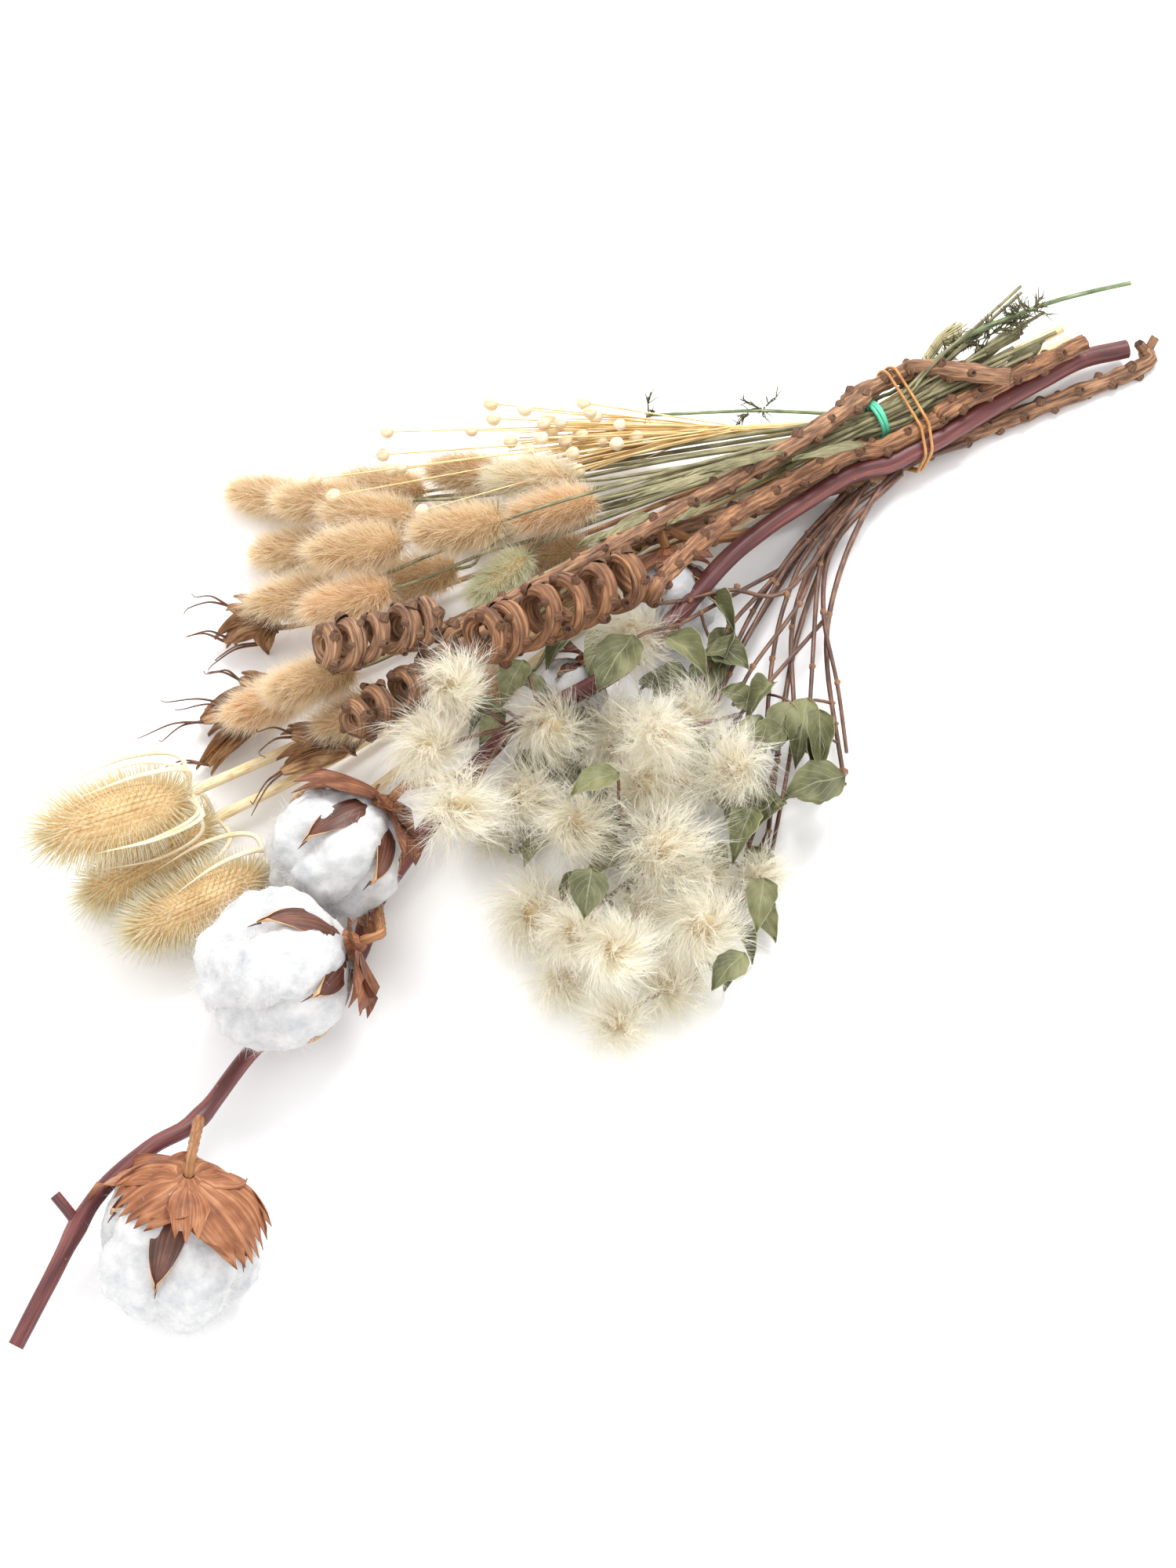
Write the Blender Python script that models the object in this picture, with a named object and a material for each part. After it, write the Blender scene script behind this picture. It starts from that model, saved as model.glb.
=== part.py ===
"""A bunch of dried flowers, tied with two rubber bands and lying on a surface.

Metres, +Z up. +X runs along the bunch towards the cut stems, and the origin is under its middle.
Places are read off the photograph as (u, v, height): a pixel of its 1500 x 2000 frame, and how far
above the surface that point lies, in millimetres. Sizes are real ones.
"""
import math
import random

import bmesh
import bpy
from mathutils import Matrix, Vector
from mathutils.geometry import intersect_point_line

MM = 0.001
GAP = 0.3 * MM
BEND_TURNS = 110
SLIVER = 1e-6
SPIRAL_STEP = 2.39996

# How the photograph looks at the bunch
AIM_PIXEL = (750, 1000)
FRAME_PIXELS = 2000
FRAME_SPAN = 0.76
SIGHT_DISTANCE = 2.0
SIGHT_ELEVATION = math.radians(60)
SIGHT_TURN = math.radians(45)
AIM_POINT = Vector((0.0044, -0.0516, 0.0))

# Driving dimensions, in millimetres
COTTON_STEM = (5.0, 3.7)
BOLL_SCALE = 36.0
TAIL_LENGTH = 47.0
TAIL_RADIUS = 11.0
TAIL_STEM = 1.3
TEASEL_LENGTH = 76.0
TEASEL_RADIUS = 20.0
SILK_RADIUS = 17.0
VINE_STEM = 1.9
STRAW = 0.55
CAPSULE_RADIUS = 3.4
TIE_REACH = 19.0
TIE_STRAIGHT = 14.0
MINT_OFFSET = -11.0
BAND = 0.9
GRASS_CORE = 5.6
GRASS_RING = 6.1
SHEAF = (2.4, 3.2)
THREAD = (0.6, 0.35)
PETIOLE = 1.0
LEAF_THICKNESS = 0.8
HUSK_THICKNESS = 0.9
BRACT_RADII = (1.5, 0.5)
STALK_RADII = (2.2, 2.6)

# The room kept round each kind of stem as it is laid, and how far its curve may be straightened
ROOM = {
    "teasel": (2.6, 1.8), "grass": (3.2, 2.2), "coil": (2.4, 1.3), "pod": (2.4, 1.5), "sheaf": (1.6, 1.0),
    "straw": (2.4, 1.6), "vine": (2.6, 1.6), "twig": (2.6, 1.8), "head": (2.4, 1.8), "petiole": (2.0, 1.6),
}

# Each kind of sub-part's plain colour and roughness
PAINT = {
    "cotton_branch": ((0.17, 0.052, 0.052), 0.5),
    "cotton_lint": ((0.83, 0.85, 0.85), 0.95),
    "cotton_bur": ((0.30, 0.12, 0.055), 0.7),
    "teasel": ((0.74, 0.60, 0.34), 0.75),
    "beige_tail": ((0.62, 0.43, 0.25), 0.9),
    "green_tail": ((0.55, 0.55, 0.34), 0.9),
    "tail_stems": ((0.36, 0.38, 0.22), 0.7),
    "coil_stem": ((0.28, 0.14, 0.075), 0.75),
    "horned_pods": ((0.33, 0.17, 0.08), 0.7),
    "flax_spray": ((0.75, 0.52, 0.20), 0.6),
    "green_sprig": ((0.09, 0.11, 0.045), 0.7),
    "clematis_heads": ((0.72, 0.68, 0.46), 0.9),
    "clematis_stem": ((0.21, 0.24, 0.13), 0.7),
    "tan_band": ((0.58, 0.32, 0.13), 0.45),
    "mint_band": ((0.10, 0.49, 0.33), 0.45),
}

BUNCH = bpy.data.collections.new("dried_flower_bunch")


# Sight and places

def view_axes():
    """The photograph's right, up and forward directions, in the bunch's own frame."""
    right = Vector((math.cos(SIGHT_TURN), -math.sin(SIGHT_TURN), 0))
    away = Vector((math.sin(SIGHT_TURN), math.cos(SIGHT_TURN), 0))
    forward = away * math.cos(SIGHT_ELEVATION) - Vector((0, 0, math.sin(SIGHT_ELEVATION)))
    return right, right.cross(forward), forward


RIGHT, UP, FORWARD = view_axes()


def spot(u, v, height):
    """The point that a pixel shows, where its line of sight is that high above the surface."""
    scale = FRAME_SPAN / FRAME_PIXELS / SIGHT_DISTANCE
    across = (u - AIM_PIXEL[0]) * scale
    up = (AIM_PIXEL[1] - v) * scale
    ray = FORWARD + RIGHT * across + UP * up
    eye = AIM_POINT - FORWARD * SIGHT_DISTANCE
    return eye + ray * ((height * MM - eye.z) / ray.z)


def spots(places):
    return [spot(*place) for place in places]


# The tie: every stem runs through a slot (across, height) of one plane

TIE = spot(1147, 541, 20) * Vector((1, 1, 0))
ALONG = (spot(1330, 483, 0) - spot(1083, 606, 0)).normalized()
ACROSS = Vector((0, 0, 1)).cross(ALONG)

SLOTS = {
    "coil_stem_1": (19.0, 31.0),
    "coil_stem_2": (-11.4, 27.2),
    "coil_stem_3": (-14.5, 10.5),
    "cotton": (-18.0, 20.5),
    "tails": (4.5, 26.0),
    "flax": (16.0, 16.4),
    "teasel_1": (10.4, 10.5),
    "teasel_2": (5.0, 10.0),
    "teasel_3": (-0.4, 10.2),
    "pods_1": (14.5, 11.8),
    "pods_2": (8.8, 6.5),
    "pods_3": (1.9, 6.4),
    "sprig": (19.2, 19.4),
    "clematis_1": (-20.8, 12.6),
    "clematis_2": (-7.5, 5.8),
    "clematis_3": (-3.4, 5.8),
}
BUNDLE_MIDDLE = (3.0, 17.0)


def through_tie(name):
    """The straight stretch of a stem in the bands, from the heads' side to the cut ends' side."""
    across, height = SLOTS[name]
    middle = TIE + ACROSS * across * MM + Vector((0, 0, height * MM))
    return [middle + ALONG * at * MM for at in (-TIE_REACH, -8, 3, TIE_STRAIGHT)]


def cut_end(name, length, spread=0.5):
    """Where a stem is cut, past the bands, with the stems fanned out as they are in the tie."""
    across, height = SLOTS[name]
    out = ACROSS * (across - BUNDLE_MIDDLE[0]) + Vector((0, 0, (height - BUNDLE_MIDDLE[1]) * 0.4))
    return through_tie(name)[-1] + (ALONG * length + out * spread) * MM


def in_tie(point):
    """Whether a place lies in the straight stretch at the bands, where nothing may move."""
    return -TIE_REACH - 1 < (point - TIE).dot(ALONG) / MM < TIE_STRAIGHT + 1


# Paths

def curve_through(points, spacing):
    """A smooth curve through the points, read about every spacing metres."""
    ends = [points[0] * 2 - points[1]] + points + [points[-1] * 2 - points[-2]]
    path = [points[0]]
    for p0, p1, p2, p3 in zip(ends, ends[1:], ends[2:], ends[3:]):
        steps = max(1, round((p2 - p1).length / spacing))
        for step in range(1, steps + 1):
            t = step / steps
            path.append(
                ((p1 * 2) + (p2 - p0) * t + (p0 * 2 - p1 * 5 + p2 * 4 - p3) * t * t
                 + (p1 * 3 - p0 - p2 * 3 + p3) * t ** 3) / 2
            )
    return path


def nearest_on(rod, point):
    """The nearest point on a rod's middle line."""
    start, end, _ = rod
    near, part = intersect_point_line(point, start, end)
    if part <= 0:
        return start
    return end if part >= 1 else near


def bend_clear(path, radius, heap, held, clearance=0.9 * MM):
    """Push a path out of what is laid already; held says which points stay."""
    path = [point.copy() for point in path]
    for turn in range(BEND_TURNS):
        for index, point in enumerate(path):
            if held(index):
                continue
            for rod in heap:
                near = nearest_on(rod, point)
                offset = point - near
                need = rod[2] + radius + clearance
                if offset.length < need:
                    push = offset.normalized() if offset.length > 1e-6 else Vector((0, 0, 1))
                    point += push * (need - offset.length)
            point.z = max(point.z, radius + 0.2 * MM)
        if turn < BEND_TURNS * 0.8:
            for index in range(1, len(path) - 1):
                if not held(index):
                    middle = (path[index - 1] + path[index + 1]) / 2
                    path[index] = path[index].lerp(middle, 0.25)
    return path


def thin_out(path, tolerance):
    """Keep only the points that the path's shape needs, and both ends of its stretch in the tie."""
    tied = [number for number, point in enumerate(path) if in_tie(point)]
    stops = sorted({0, *tied[:1], *tied[-1:], len(path) - 1})
    kept = path[:1]
    for start, end in zip(stops, stops[1:]):
        kept += thin_stretch(path[start:end + 1], tolerance)[1:]
    return kept


def thin_stretch(path, tolerance):
    """Keep the points of one stretch that lie further than tolerance from a straighter line."""
    if len(path) < 3:
        return path
    start, end = path[0], path[-1]
    gaps = [(point - nearest_on((start, end, 0), point)).length for point in path]
    widest = max(range(len(path)), key=gaps.__getitem__)
    if gaps[widest] < tolerance:
        return [start, end]
    return thin_stretch(path[:widest + 1], tolerance)[:-1] + thin_stretch(path[widest:], tolerance)


def clear_path(path, radius, heap, held, kind):
    """Bend a path clear of the heap, with the room that its kind of stem keeps; radius in millimetres."""
    room, slack = ROOM[kind]
    return thin_out(bend_clear(path, radius * MM, heap, held, room * MM), slack * MM)


def add_rods(heap, path, radius):
    """Lay a path's stretches on the heap, each as (start, end, radius)."""
    heap += [(a, b, radius) for a, b in zip(path, path[1:])]


def taper(path, start, end):
    """A radius for each point of a path, from start to end, in metres."""
    return [(start + (end - start) * i / (len(path) - 1)) * MM for i in range(len(path))]


# Laying down: a head lies at the lowest height where it is clear of the heap

def clear_of(heap, start, end, radius):
    """Whether a capsule from start to end is clear of all that is laid already."""
    for step in range(7):
        point = start.lerp(end, step / 6)
        for rod in heap:
            if (point - nearest_on(rod, point)).length < rod[2] + radius + 2 * GAP:
                return False
    return True


def lay(heap, tip_pixel, base_pixel, radius, length=None, inset=0.0, tilt=0.0):
    """Lay a head on the heap and add it; gives its tip and base.

    Its rounded ends reach inset past the straight stretch that is kept clear, and tilt lifts its
    base above its tip.
    """
    height = radius - 0.8
    while True:
        tip, base = spot(*tip_pixel, height), spot(*base_pixel, height + tilt)
        axis = (base - tip).normalized()
        if length:
            base = tip + axis * length * MM
        rod = (tip + axis * inset * MM, base - axis * inset * MM, radius * MM)
        if clear_of(heap, *rod):
            heap.append(rod)
            return tip, base
        height += 0.5


# Solids

def finish(obj, name, kind):
    """Name a solid, give it its own material of its kind and shade it smooth."""
    colour, roughness = PAINT[kind]
    obj.name = name
    obj.data.name = name
    skin = bpy.data.materials.new(name)
    skin.use_nodes = True
    shader = skin.node_tree.nodes["Principled BSDF"]
    shader.inputs["Base Color"].default_value = (*colour, 1)
    shader.inputs["Roughness"].default_value = roughness
    shader.inputs["Metallic"].default_value = 0.0
    obj.data.materials.clear()
    obj.data.materials.append(skin)
    obj.data.shade_smooth()
    obj.data.set_sharp_from_angle(angle=math.radians(40))
    return obj


def solid_from(bm):
    """An object from a closed form, with its faces pointing out."""
    if bm.calc_volume(signed=True) < 0:
        bmesh.ops.reverse_faces(bm, faces=bm.faces[:])
    mesh = bpy.data.meshes.new("solid")
    bm.to_mesh(mesh)
    bm.free()
    solid = bpy.data.objects.new("solid", mesh)
    BUNCH.objects.link(solid)
    return solid


def evaluated(source):
    """The form of a curve or of an object with modifiers."""
    depsgraph = bpy.context.evaluated_depsgraph_get()
    mesh = bpy.data.meshes.new_from_object(source.evaluated_get(depsgraph))
    bm = bmesh.new()
    bm.from_mesh(mesh)
    bpy.data.meshes.remove(mesh)
    bmesh.ops.remove_doubles(bm, verts=bm.verts, dist=SLIVER)
    return bm


def as_mesh(source):
    """A plain mesh object in place of a curve or of an object with modifiers."""
    bm = evaluated(source)
    mesh = bpy.data.meshes.new("solid")
    bm.to_mesh(mesh)
    bm.free()
    solid = bpy.data.objects.new(source.name, mesh)
    solid.matrix_world = source.matrix_world
    bpy.data.objects.remove(source)
    BUNCH.objects.link(solid)
    return solid


def tube(path, radii, roundness=0):
    """A rod along a path, with a radius at each point."""
    curve = bpy.data.curves.new("tube", "CURVE")
    curve.dimensions = "3D"
    curve.bevel_depth = 1.0
    curve.bevel_resolution = roundness
    curve.use_fill_caps = True
    spline = curve.splines.new("POLY")
    spline.points.add(len(path) - 1)
    for place, point, radius in zip(spline.points, path, radii):
        place.co = (*point, 1.0)
        place.radius = radius
    rod = bpy.data.objects.new("tube", curve)
    BUNCH.objects.link(rod)
    return as_mesh(rod)


def fuse(pieces):
    """Join overlapping pieces into one closed solid."""
    body = pieces[0]
    others = bpy.data.collections.new("others")
    for piece in pieces[1:]:
        BUNCH.objects.unlink(piece)
        others.objects.link(piece)
    union = body.modifiers.new("union", "BOOLEAN")
    union.operation = "UNION"
    union.operand_type = "COLLECTION"
    union.collection = others
    for solver in ("EXACT", "MANIFOLD"):
        union.solver = solver
        form = evaluated(body)
        closed = drop_scraps(form)
        if closed:
            break
    mesh = bpy.data.meshes.new("solid")
    form.to_mesh(mesh)
    form.free()
    for piece in [body] + list(others.objects):
        bpy.data.objects.remove(piece)
    bpy.data.collections.remove(others)
    whole = bpy.data.objects.new("solid", mesh)
    BUNCH.objects.link(whole)
    return whole


def drop_scraps(bm):
    """Keep only the largest body, without sealed hollows or scraps; tells whether it is closed."""
    bodies = []
    left = set(bm.faces)
    while left:
        body = [left.pop()]
        for face in body:
            for edge in face.edges:
                for other in edge.link_faces:
                    if other in left:
                        left.remove(other)
                        body.append(other)
        bodies.append(body)
    bodies.sort(key=len)
    bmesh.ops.delete(bm, geom=[face for body in bodies[:-1] for face in body], context="FACES")
    return all(edge.is_manifold for edge in bm.edges)


def onto_surface(solid):
    """Cut off, flat, what would reach below the surface."""
    if min(vert.co.z for vert in solid.data.vertices) > -SLIVER:
        return solid
    bm = bmesh.new()
    bm.from_mesh(solid.data)
    bmesh.ops.bisect_plane(bm, geom=bm.verts[:] + bm.edges[:] + bm.faces[:], dist=SLIVER,
                           plane_co=(0, 0, 0), plane_no=(0, 0, 1), clear_inner=True)
    rim = [edge for edge in bm.edges if edge.is_boundary]
    bmesh.ops.holes_fill(bm, edges=rim)
    bmesh.ops.triangulate(bm, faces=bm.faces[:])
    bm.to_mesh(solid.data)
    bm.free()
    return solid


def turned(base, tip):
    """The matrix that takes +X to the way from base to tip, from their middle."""
    turn = (tip - base).to_track_quat("X", "Z").to_matrix().to_4x4()
    return Matrix.Translation((base + tip) / 2) @ turn


def burr(base, tip, radius, segments, rings, core, lean=0.0, swirl=0.0, slim=0.2):
    """A head covered in blunt spines, one on every facet of a slimmer core.

    The spines lean towards the tip by lean, and turn round the head by swirl.
    """
    bm = bmesh.new()
    bmesh.ops.create_uvsphere(bm, u_segments=segments, v_segments=rings, radius=1.0)
    spines = set(bmesh.ops.poke(bm, faces=bm.faces[:])["verts"])
    half = (tip - base).length / 2
    for vert in bm.verts:
        out = vert.co.normalized()
        reach = 1.0 if vert in spines else core
        side = radius * reach * (1 - slim * out.z)
        angle = math.atan2(out.y, out.x) + (swirl if vert in spines else 0)
        width = math.hypot(out.x, out.y) * side
        along = out.z * half
        if vert in spines:
            along = min(along + lean * half, half)
        vert.co = (along, math.cos(angle) * width, math.sin(angle) * width)
    bm.transform(turned(base, tip))
    return solid_from(bm)


def blade(shape, cells, thickness):
    """A thin leaf; shape gives the point at a part of its length and a side from -1 to 1."""
    bm = bmesh.new()
    bmesh.ops.create_grid(bm, x_segments=cells[0], y_segments=cells[1], size=1.0)
    for vert in bm.verts:
        vert.co = shape((vert.co.x + 1) / 2, vert.co.y)
    bmesh.ops.triangulate(bm, faces=bm.faces[:])
    bmesh.ops.solidify(bm, geom=bm.faces[:], thickness=thickness)
    bmesh.ops.recalc_face_normals(bm, faces=bm.faces[:])
    return solid_from(bm)


# Cotton branch

COTTON_PATH = [
    (1437, 445, 10), (1380, 458, 12), (1330, 483, 15), (1253, 526, 18),
    (1083, 606, 25), (1019, 645, 29), (971, 677, 32), (923, 718, 34), (850, 800, 36),
    (780, 860, 35), (664, 923, 31), (600, 985, 27), (550, 1050, 21), (480, 1149, 12),
    (456, 1220, 7), (410, 1288, 7), (330, 1332, 14), (254, 1426, 30), (190, 1465, 34),
    (120, 1530, 33), (60, 1640, 24), (20, 1717, 16),
]
TIE_POINT_IN_COTTON = 4

# A cut stub and a dried bud on the branch: foot, end and radius
SIDE_TWIGS = [((97, 1558, 31), (70, 1524, 38), 2.4), ((462, 1170, 14), (478, 1190, 30), 2.2)]

# Centre pixel and height, size against BOLL_SCALE, the way its stalk leaves it (right, up, near),
# and the stalk's pixels
BOLLS = [
    ((228, 1592, 32), 1.0, (0.15, 0.80, 0.50), [(254, 1426, 30)]),
    ((352, 1238, 48), 1.0, (0.86, 0.30, 0.05), [(480, 1149, 12)]),
    ((428, 1086, 46), 0.86, (0.66, 0.62, 0.15), [(530, 1000, 34), (600, 985, 27)]),
    ((856, 768, 20), 0.61, (-0.10, 0.90, 0.25), [(890, 690, 32), (971, 677, 32)]),
    ((728, 884, 15), 0.46, (0.50, 0.75, 0.10), [(780, 820, 30), (830, 819, 36)]),
]
LOCKS = 5
LOCK_RELIEF = 0.10
LOCK_NOISE = 0.04
BUR_OFFSET = 1.3
HUB_RADIUS = 6.5
HUB_DEPTH = 5.2
BRACT_OFFSET = 3.1


def cotton_axis():
    """The branch's middle line, through its slot in the tie."""
    points = spots(COTTON_PATH[:TIE_POINT_IN_COTTON])
    points += list(reversed(through_tie("cotton")))
    points += spots(COTTON_PATH[TIE_POINT_IN_COTTON:])
    return points


def boll_frame(centre, way):
    """A boll's own frame: +X from its centre to its open end."""
    stalk = (RIGHT * way[0] + UP * way[1] - FORWARD * way[2]).normalized()
    return Matrix.Translation(centre) @ (-stalk).to_track_quat("X", "Z").to_matrix().to_4x4(), stalk


def lint(frame, radius, seed):
    """The white lint: a ball with a bulge for each lock."""
    draw = random.Random(seed)
    bm = bmesh.new()
    bmesh.ops.create_uvsphere(bm, u_segments=3 * LOCKS, v_segments=6, radius=1.0)
    for vert in bm.verts:
        x, y, z = vert.co.normalized()
        bulge = math.cos(LOCKS * math.atan2(y, x)) * math.hypot(x, y)
        reach = 1 - LOCK_RELIEF * (1 - bulge) / 2 * math.hypot(x, y)
        if z > -0.95:
            reach -= draw.uniform(0, LOCK_NOISE)
        vert.co = Vector((z, y, x)) * radius * reach
    bm.transform(frame)
    return onto_surface(solid_from(bm))


def bur_blade(frame, radius, middle, half_width, ends, curl, cells, notch=0.0):
    """One carpel or bract that lies round the lint; middle is its place round the stalk."""
    def shape(part, side):
        polar = ends[0] + (ends[1] - ends[0]) * part
        swell = math.sin(math.pi * min(1.0, part * 0.85 + 0.12)) ** 0.8
        edge = 1 - notch * (round(part * cells[0]) % 2)
        angle = middle + side * max(half_width * swell * edge, 0.02) / max(math.sin(polar), 0.35)
        out = radius + curl * part ** 2 + notch * 3 * MM * abs(side) * math.sin(9 * part)
        ring = math.sin(polar) * out
        return frame @ Vector((-math.cos(polar) * out, ring * math.cos(angle), ring * math.sin(angle)))
    return blade(shape, cells, HUSK_THICKNESS * MM)


def crosses(solid, heap):
    """Whether a thin piece comes too near to what is laid already."""
    places = [vert.co for vert in solid.data.vertices]
    for edge in solid.data.edges:
        start, end = (places[number] for number in edge.vertices)
        for part in (0, 0.25, 0.5, 0.75):
            point = start.lerp(end, part)
            if any((point - nearest_on(rod, point)).length < rod[2] + 1.2 * MM for rod in heap):
                return True
    return False


def bur(frame, radius, seed, bracts, heap):
    """The dry cup that holds the lint: a small hub, pointed carpels and wide bracts."""
    draw = random.Random(seed)
    near = radius + BUR_OFFSET * MM
    bm = bmesh.new()
    bmesh.ops.create_cone(bm, cap_ends=True, segments=6, radius1=HUB_RADIUS * MM,
                          radius2=HUB_RADIUS * MM * 0.9, depth=HUB_DEPTH * MM)
    bm.transform(Matrix.Rotation(math.pi / 2, 4, "Y"))
    bm.transform(frame @ Matrix.Translation((-(radius + (GAP / MM + HUB_DEPTH / 2) * MM), 0, 0)))
    pieces = [solid_from(bm)]
    for index in range(LOCKS):
        middle = (index + 0.5) * 2 * math.pi / LOCKS
        ends = 0.10, draw.uniform(1.15, 1.5)
        cells = (3, 1) if bracts > 1 else (2, 1)
        pieces.append(bur_blade(frame, near, middle, 0.30, ends, draw.uniform(0, 1.5) * MM, cells))
    for index in range(bracts):
        middle = index * 2.1 + draw.uniform(-0.2, 0.2)
        ends = 0.11, draw.uniform(0.85, 1.25)
        outer = near + BRACT_OFFSET * MM
        pieces.append(bur_blade(frame, outer, middle, 0.45, ends, 4 * MM, (3, 2), notch=0.25))
    for piece in pieces[1:]:
        if crosses(piece, heap):
            pieces.remove(piece)
            bpy.data.objects.remove(piece)
    return fuse(pieces)


def cotton_branch(heap):
    """The woody stem with its leaf scars, a stub, a dried bud and the bolls' stalks."""
    path = curve_through(cotton_axis(), 36 * MM)
    pieces = [tube(path, taper(path, *COTTON_STEM), 1)]
    for (centre, size, way, stalk_places) in BOLLS:
        radius = BOLL_SCALE * size * MM
        _, stalk = boll_frame(Vector(), way)
        foot = spot(*centre) + stalk * (radius + (2 * GAP / MM + HUB_DEPTH) * MM)
        route = curve_through([foot, foot + stalk * 9 * MM] + spots(stalk_places), 15 * MM)
        pieces.append(tube(route, taper(route, *STALK_RADII)))
        add_rods(heap, route, 2.4 * MM)
    for start, end, radius in SIDE_TWIGS:
        twig = spots([start, end])
        pieces.append(tube(twig, taper(twig, radius, radius * 1.25), 1))
    add_rods(heap, path, COTTON_STEM[0] * MM)
    return finish(fuse(pieces), "cotton_branch", "cotton_branch")


def groove(solid, path, radius):
    """Cut the way of a rod out of a soft solid that the rod presses into."""
    cutter = tube(path, [radius + GAP] * len(path), 2)
    cut = solid.modifiers.new("groove", "BOOLEAN")
    cut.operation = "DIFFERENCE"
    cut.object = cutter
    hollowed = as_mesh(solid)
    bpy.data.objects.remove(cutter)
    return hollowed


def cotton(heap):
    """The branch, and each boll's lint and dry cup."""
    cotton_branch(heap)
    rods = list(heap)
    for index, (centre, size, way, _) in enumerate(BOLLS, 1):
        radius = BOLL_SCALE * size * MM
        middle = spot(*centre)
        frame, stalk = boll_frame(middle, way)
        white = lint(frame, radius, index)
        if index > 3:
            white = groove(white, curve_through(cotton_axis(), 36 * MM), COTTON_STEM[0] * MM)
        finish(white, f"cotton_lint_{index}", "cotton_lint")
        cup = bur(frame, radius, 20 + index, 3 if index < 4 else 1, rods)
        finish(onto_surface(cup), f"cotton_bur_{index}", "cotton_bur")
        heap.append((middle, middle, radius + 1.2 * MM))
        reach = radius + (BUR_OFFSET + 3.5) * MM
        covered = middle + stalk * reach * 0.4
        heap.append((covered, covered, reach))


# Teasels

TEASELS = {
    2: ((106, 1150), (278, 1040), 0.95, [(350, 1015), (480, 940), (640, 840), (830, 700)]),
    3: ((160, 1196), (308, 1128), 0.92, [(400, 1070), (500, 990), (680, 845), (850, 712)]),
    1: ((45, 1072), (232, 1016), 1.06, [(300, 985), (420, 935), (560, 865), (760, 735), (850, 680)]),
}
TEASEL_STEM = 2.5
TEASEL_BRACTS = 5


def teasel(index, ends, heap, heads):
    """A spiny head on a grooved stem, with long bracts that curve up round it."""
    _, _, size, stem_pixels = TEASELS[index]
    name = f"teasel_{index}"
    tip, base = ends
    axis = (tip - base).normalized()
    head = onto_surface(burr(base, tip, TEASEL_RADIUS * size * MM, 8, 8, 0.84, lean=0.03))
    route = [base + axis * 8 * MM, base - axis * 3 * MM]
    route += [spot(*pixel, 6.0) for pixel in stem_pixels] + through_tie(name) + [cut_end(name, 95)]
    path = curve_through(route, 11 * MM)
    own = heads[list(TEASELS).index(index)]
    laid = [rod for rod in heap if rod != own]

    def held(at):
        return at < 1 or in_tie(path[at])
    path = clear_path(path, TEASEL_STEM, laid, held, "teasel")
    pieces = [head, tube(path, [TEASEL_STEM * MM] * len(path), 1)]
    turn = turned(base, tip).to_3x3()
    for number in range(TEASEL_BRACTS):
        angle = number * 2 * math.pi / TEASEL_BRACTS + 0.4
        side = turn @ Vector((0, math.cos(angle), math.sin(angle)))
        if base.z + side.z * 27 * MM < 3 * MM:
            continue
        arc = [base + axis * 3 * MM, base + side * 19 * MM, base + side * 26 * MM + axis * 22 * MM,
               base + side * 23 * MM + axis * 52 * MM]
        bract = tube(arc, taper(arc, *BRACT_RADII))
        if crosses(bract, laid):
            bpy.data.objects.remove(bract)
        else:
            pieces.append(bract)
            add_rods(heap, arc, 1.3 * MM)
    add_rods(heap, path, TEASEL_STEM * MM)
    finish(onto_surface(fuse(pieces)), name, "teasel")


def teasels(heap):
    """Lay the three heads, the lowest first, and then grow their bracts and stems."""
    ends = [lay(heap, tip, base, TEASEL_RADIUS * size, TEASEL_LENGTH, inset=19)
            for tip, base, size, _ in TEASELS.values()]
    heads = heap[-len(ends):]
    for index, place in zip(TEASELS, ends):
        teasel(index, place, heap, heads)


# Bunny tail grass

# Tip and base pixels, from the lowest heads to the topmost; the last number is a size
TAILS = [
    ((288, 914), (400, 872), 1.0), ((401, 930), (508, 900), 1.0), ((560, 905), (668, 862), 0.9),
    ((291, 627), (402, 638), 0.95), ((322, 706), (430, 700), 1.0), ((318, 772), (430, 748), 1.0),
    ((340, 884), (452, 852), 1.0), ((352, 640), (462, 638), 1.0), ((430, 620), (548, 626), 1.0),
    ((470, 745), (585, 725), 1.0), ((545, 600), (660, 608), 0.9), ((640, 722), (748, 700), 1.0),
    ((550, 664), (655, 668), 1.0), ((414, 652), (526, 659), 1.0), ((393, 706), (512, 692), 1.05),
    ((621, 611), (738, 612), 1.0), ((526, 680), (645, 662), 1.0), ((648, 662), (762, 638), 1.0),
    ((387, 780), (510, 748), 1.0), ((601, 764), (675, 706), 0.85),
]
GREEN_TAILS = {16, 20}


def tails(heap):
    """The heads, each laid on those below it; gives their base ends."""
    ends = []
    for index, (tip, base, size) in enumerate(TAILS, 1):
        radius = TAIL_RADIUS * size
        start, end = lay(heap, tip, base, radius, TAIL_LENGTH * size, inset=radius * 0.8)
        axis = (start - end).normalized()
        head = onto_surface(burr(end, start, radius * MM, 5, 5, 0.80, lean=0.10, slim=0.12))
        finish(head, f"bunny_tail_{index:02d}", "green_tail" if index in GREEN_TAILS else "beige_tail")
        ends.append((end, -axis))
    return ends


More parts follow.
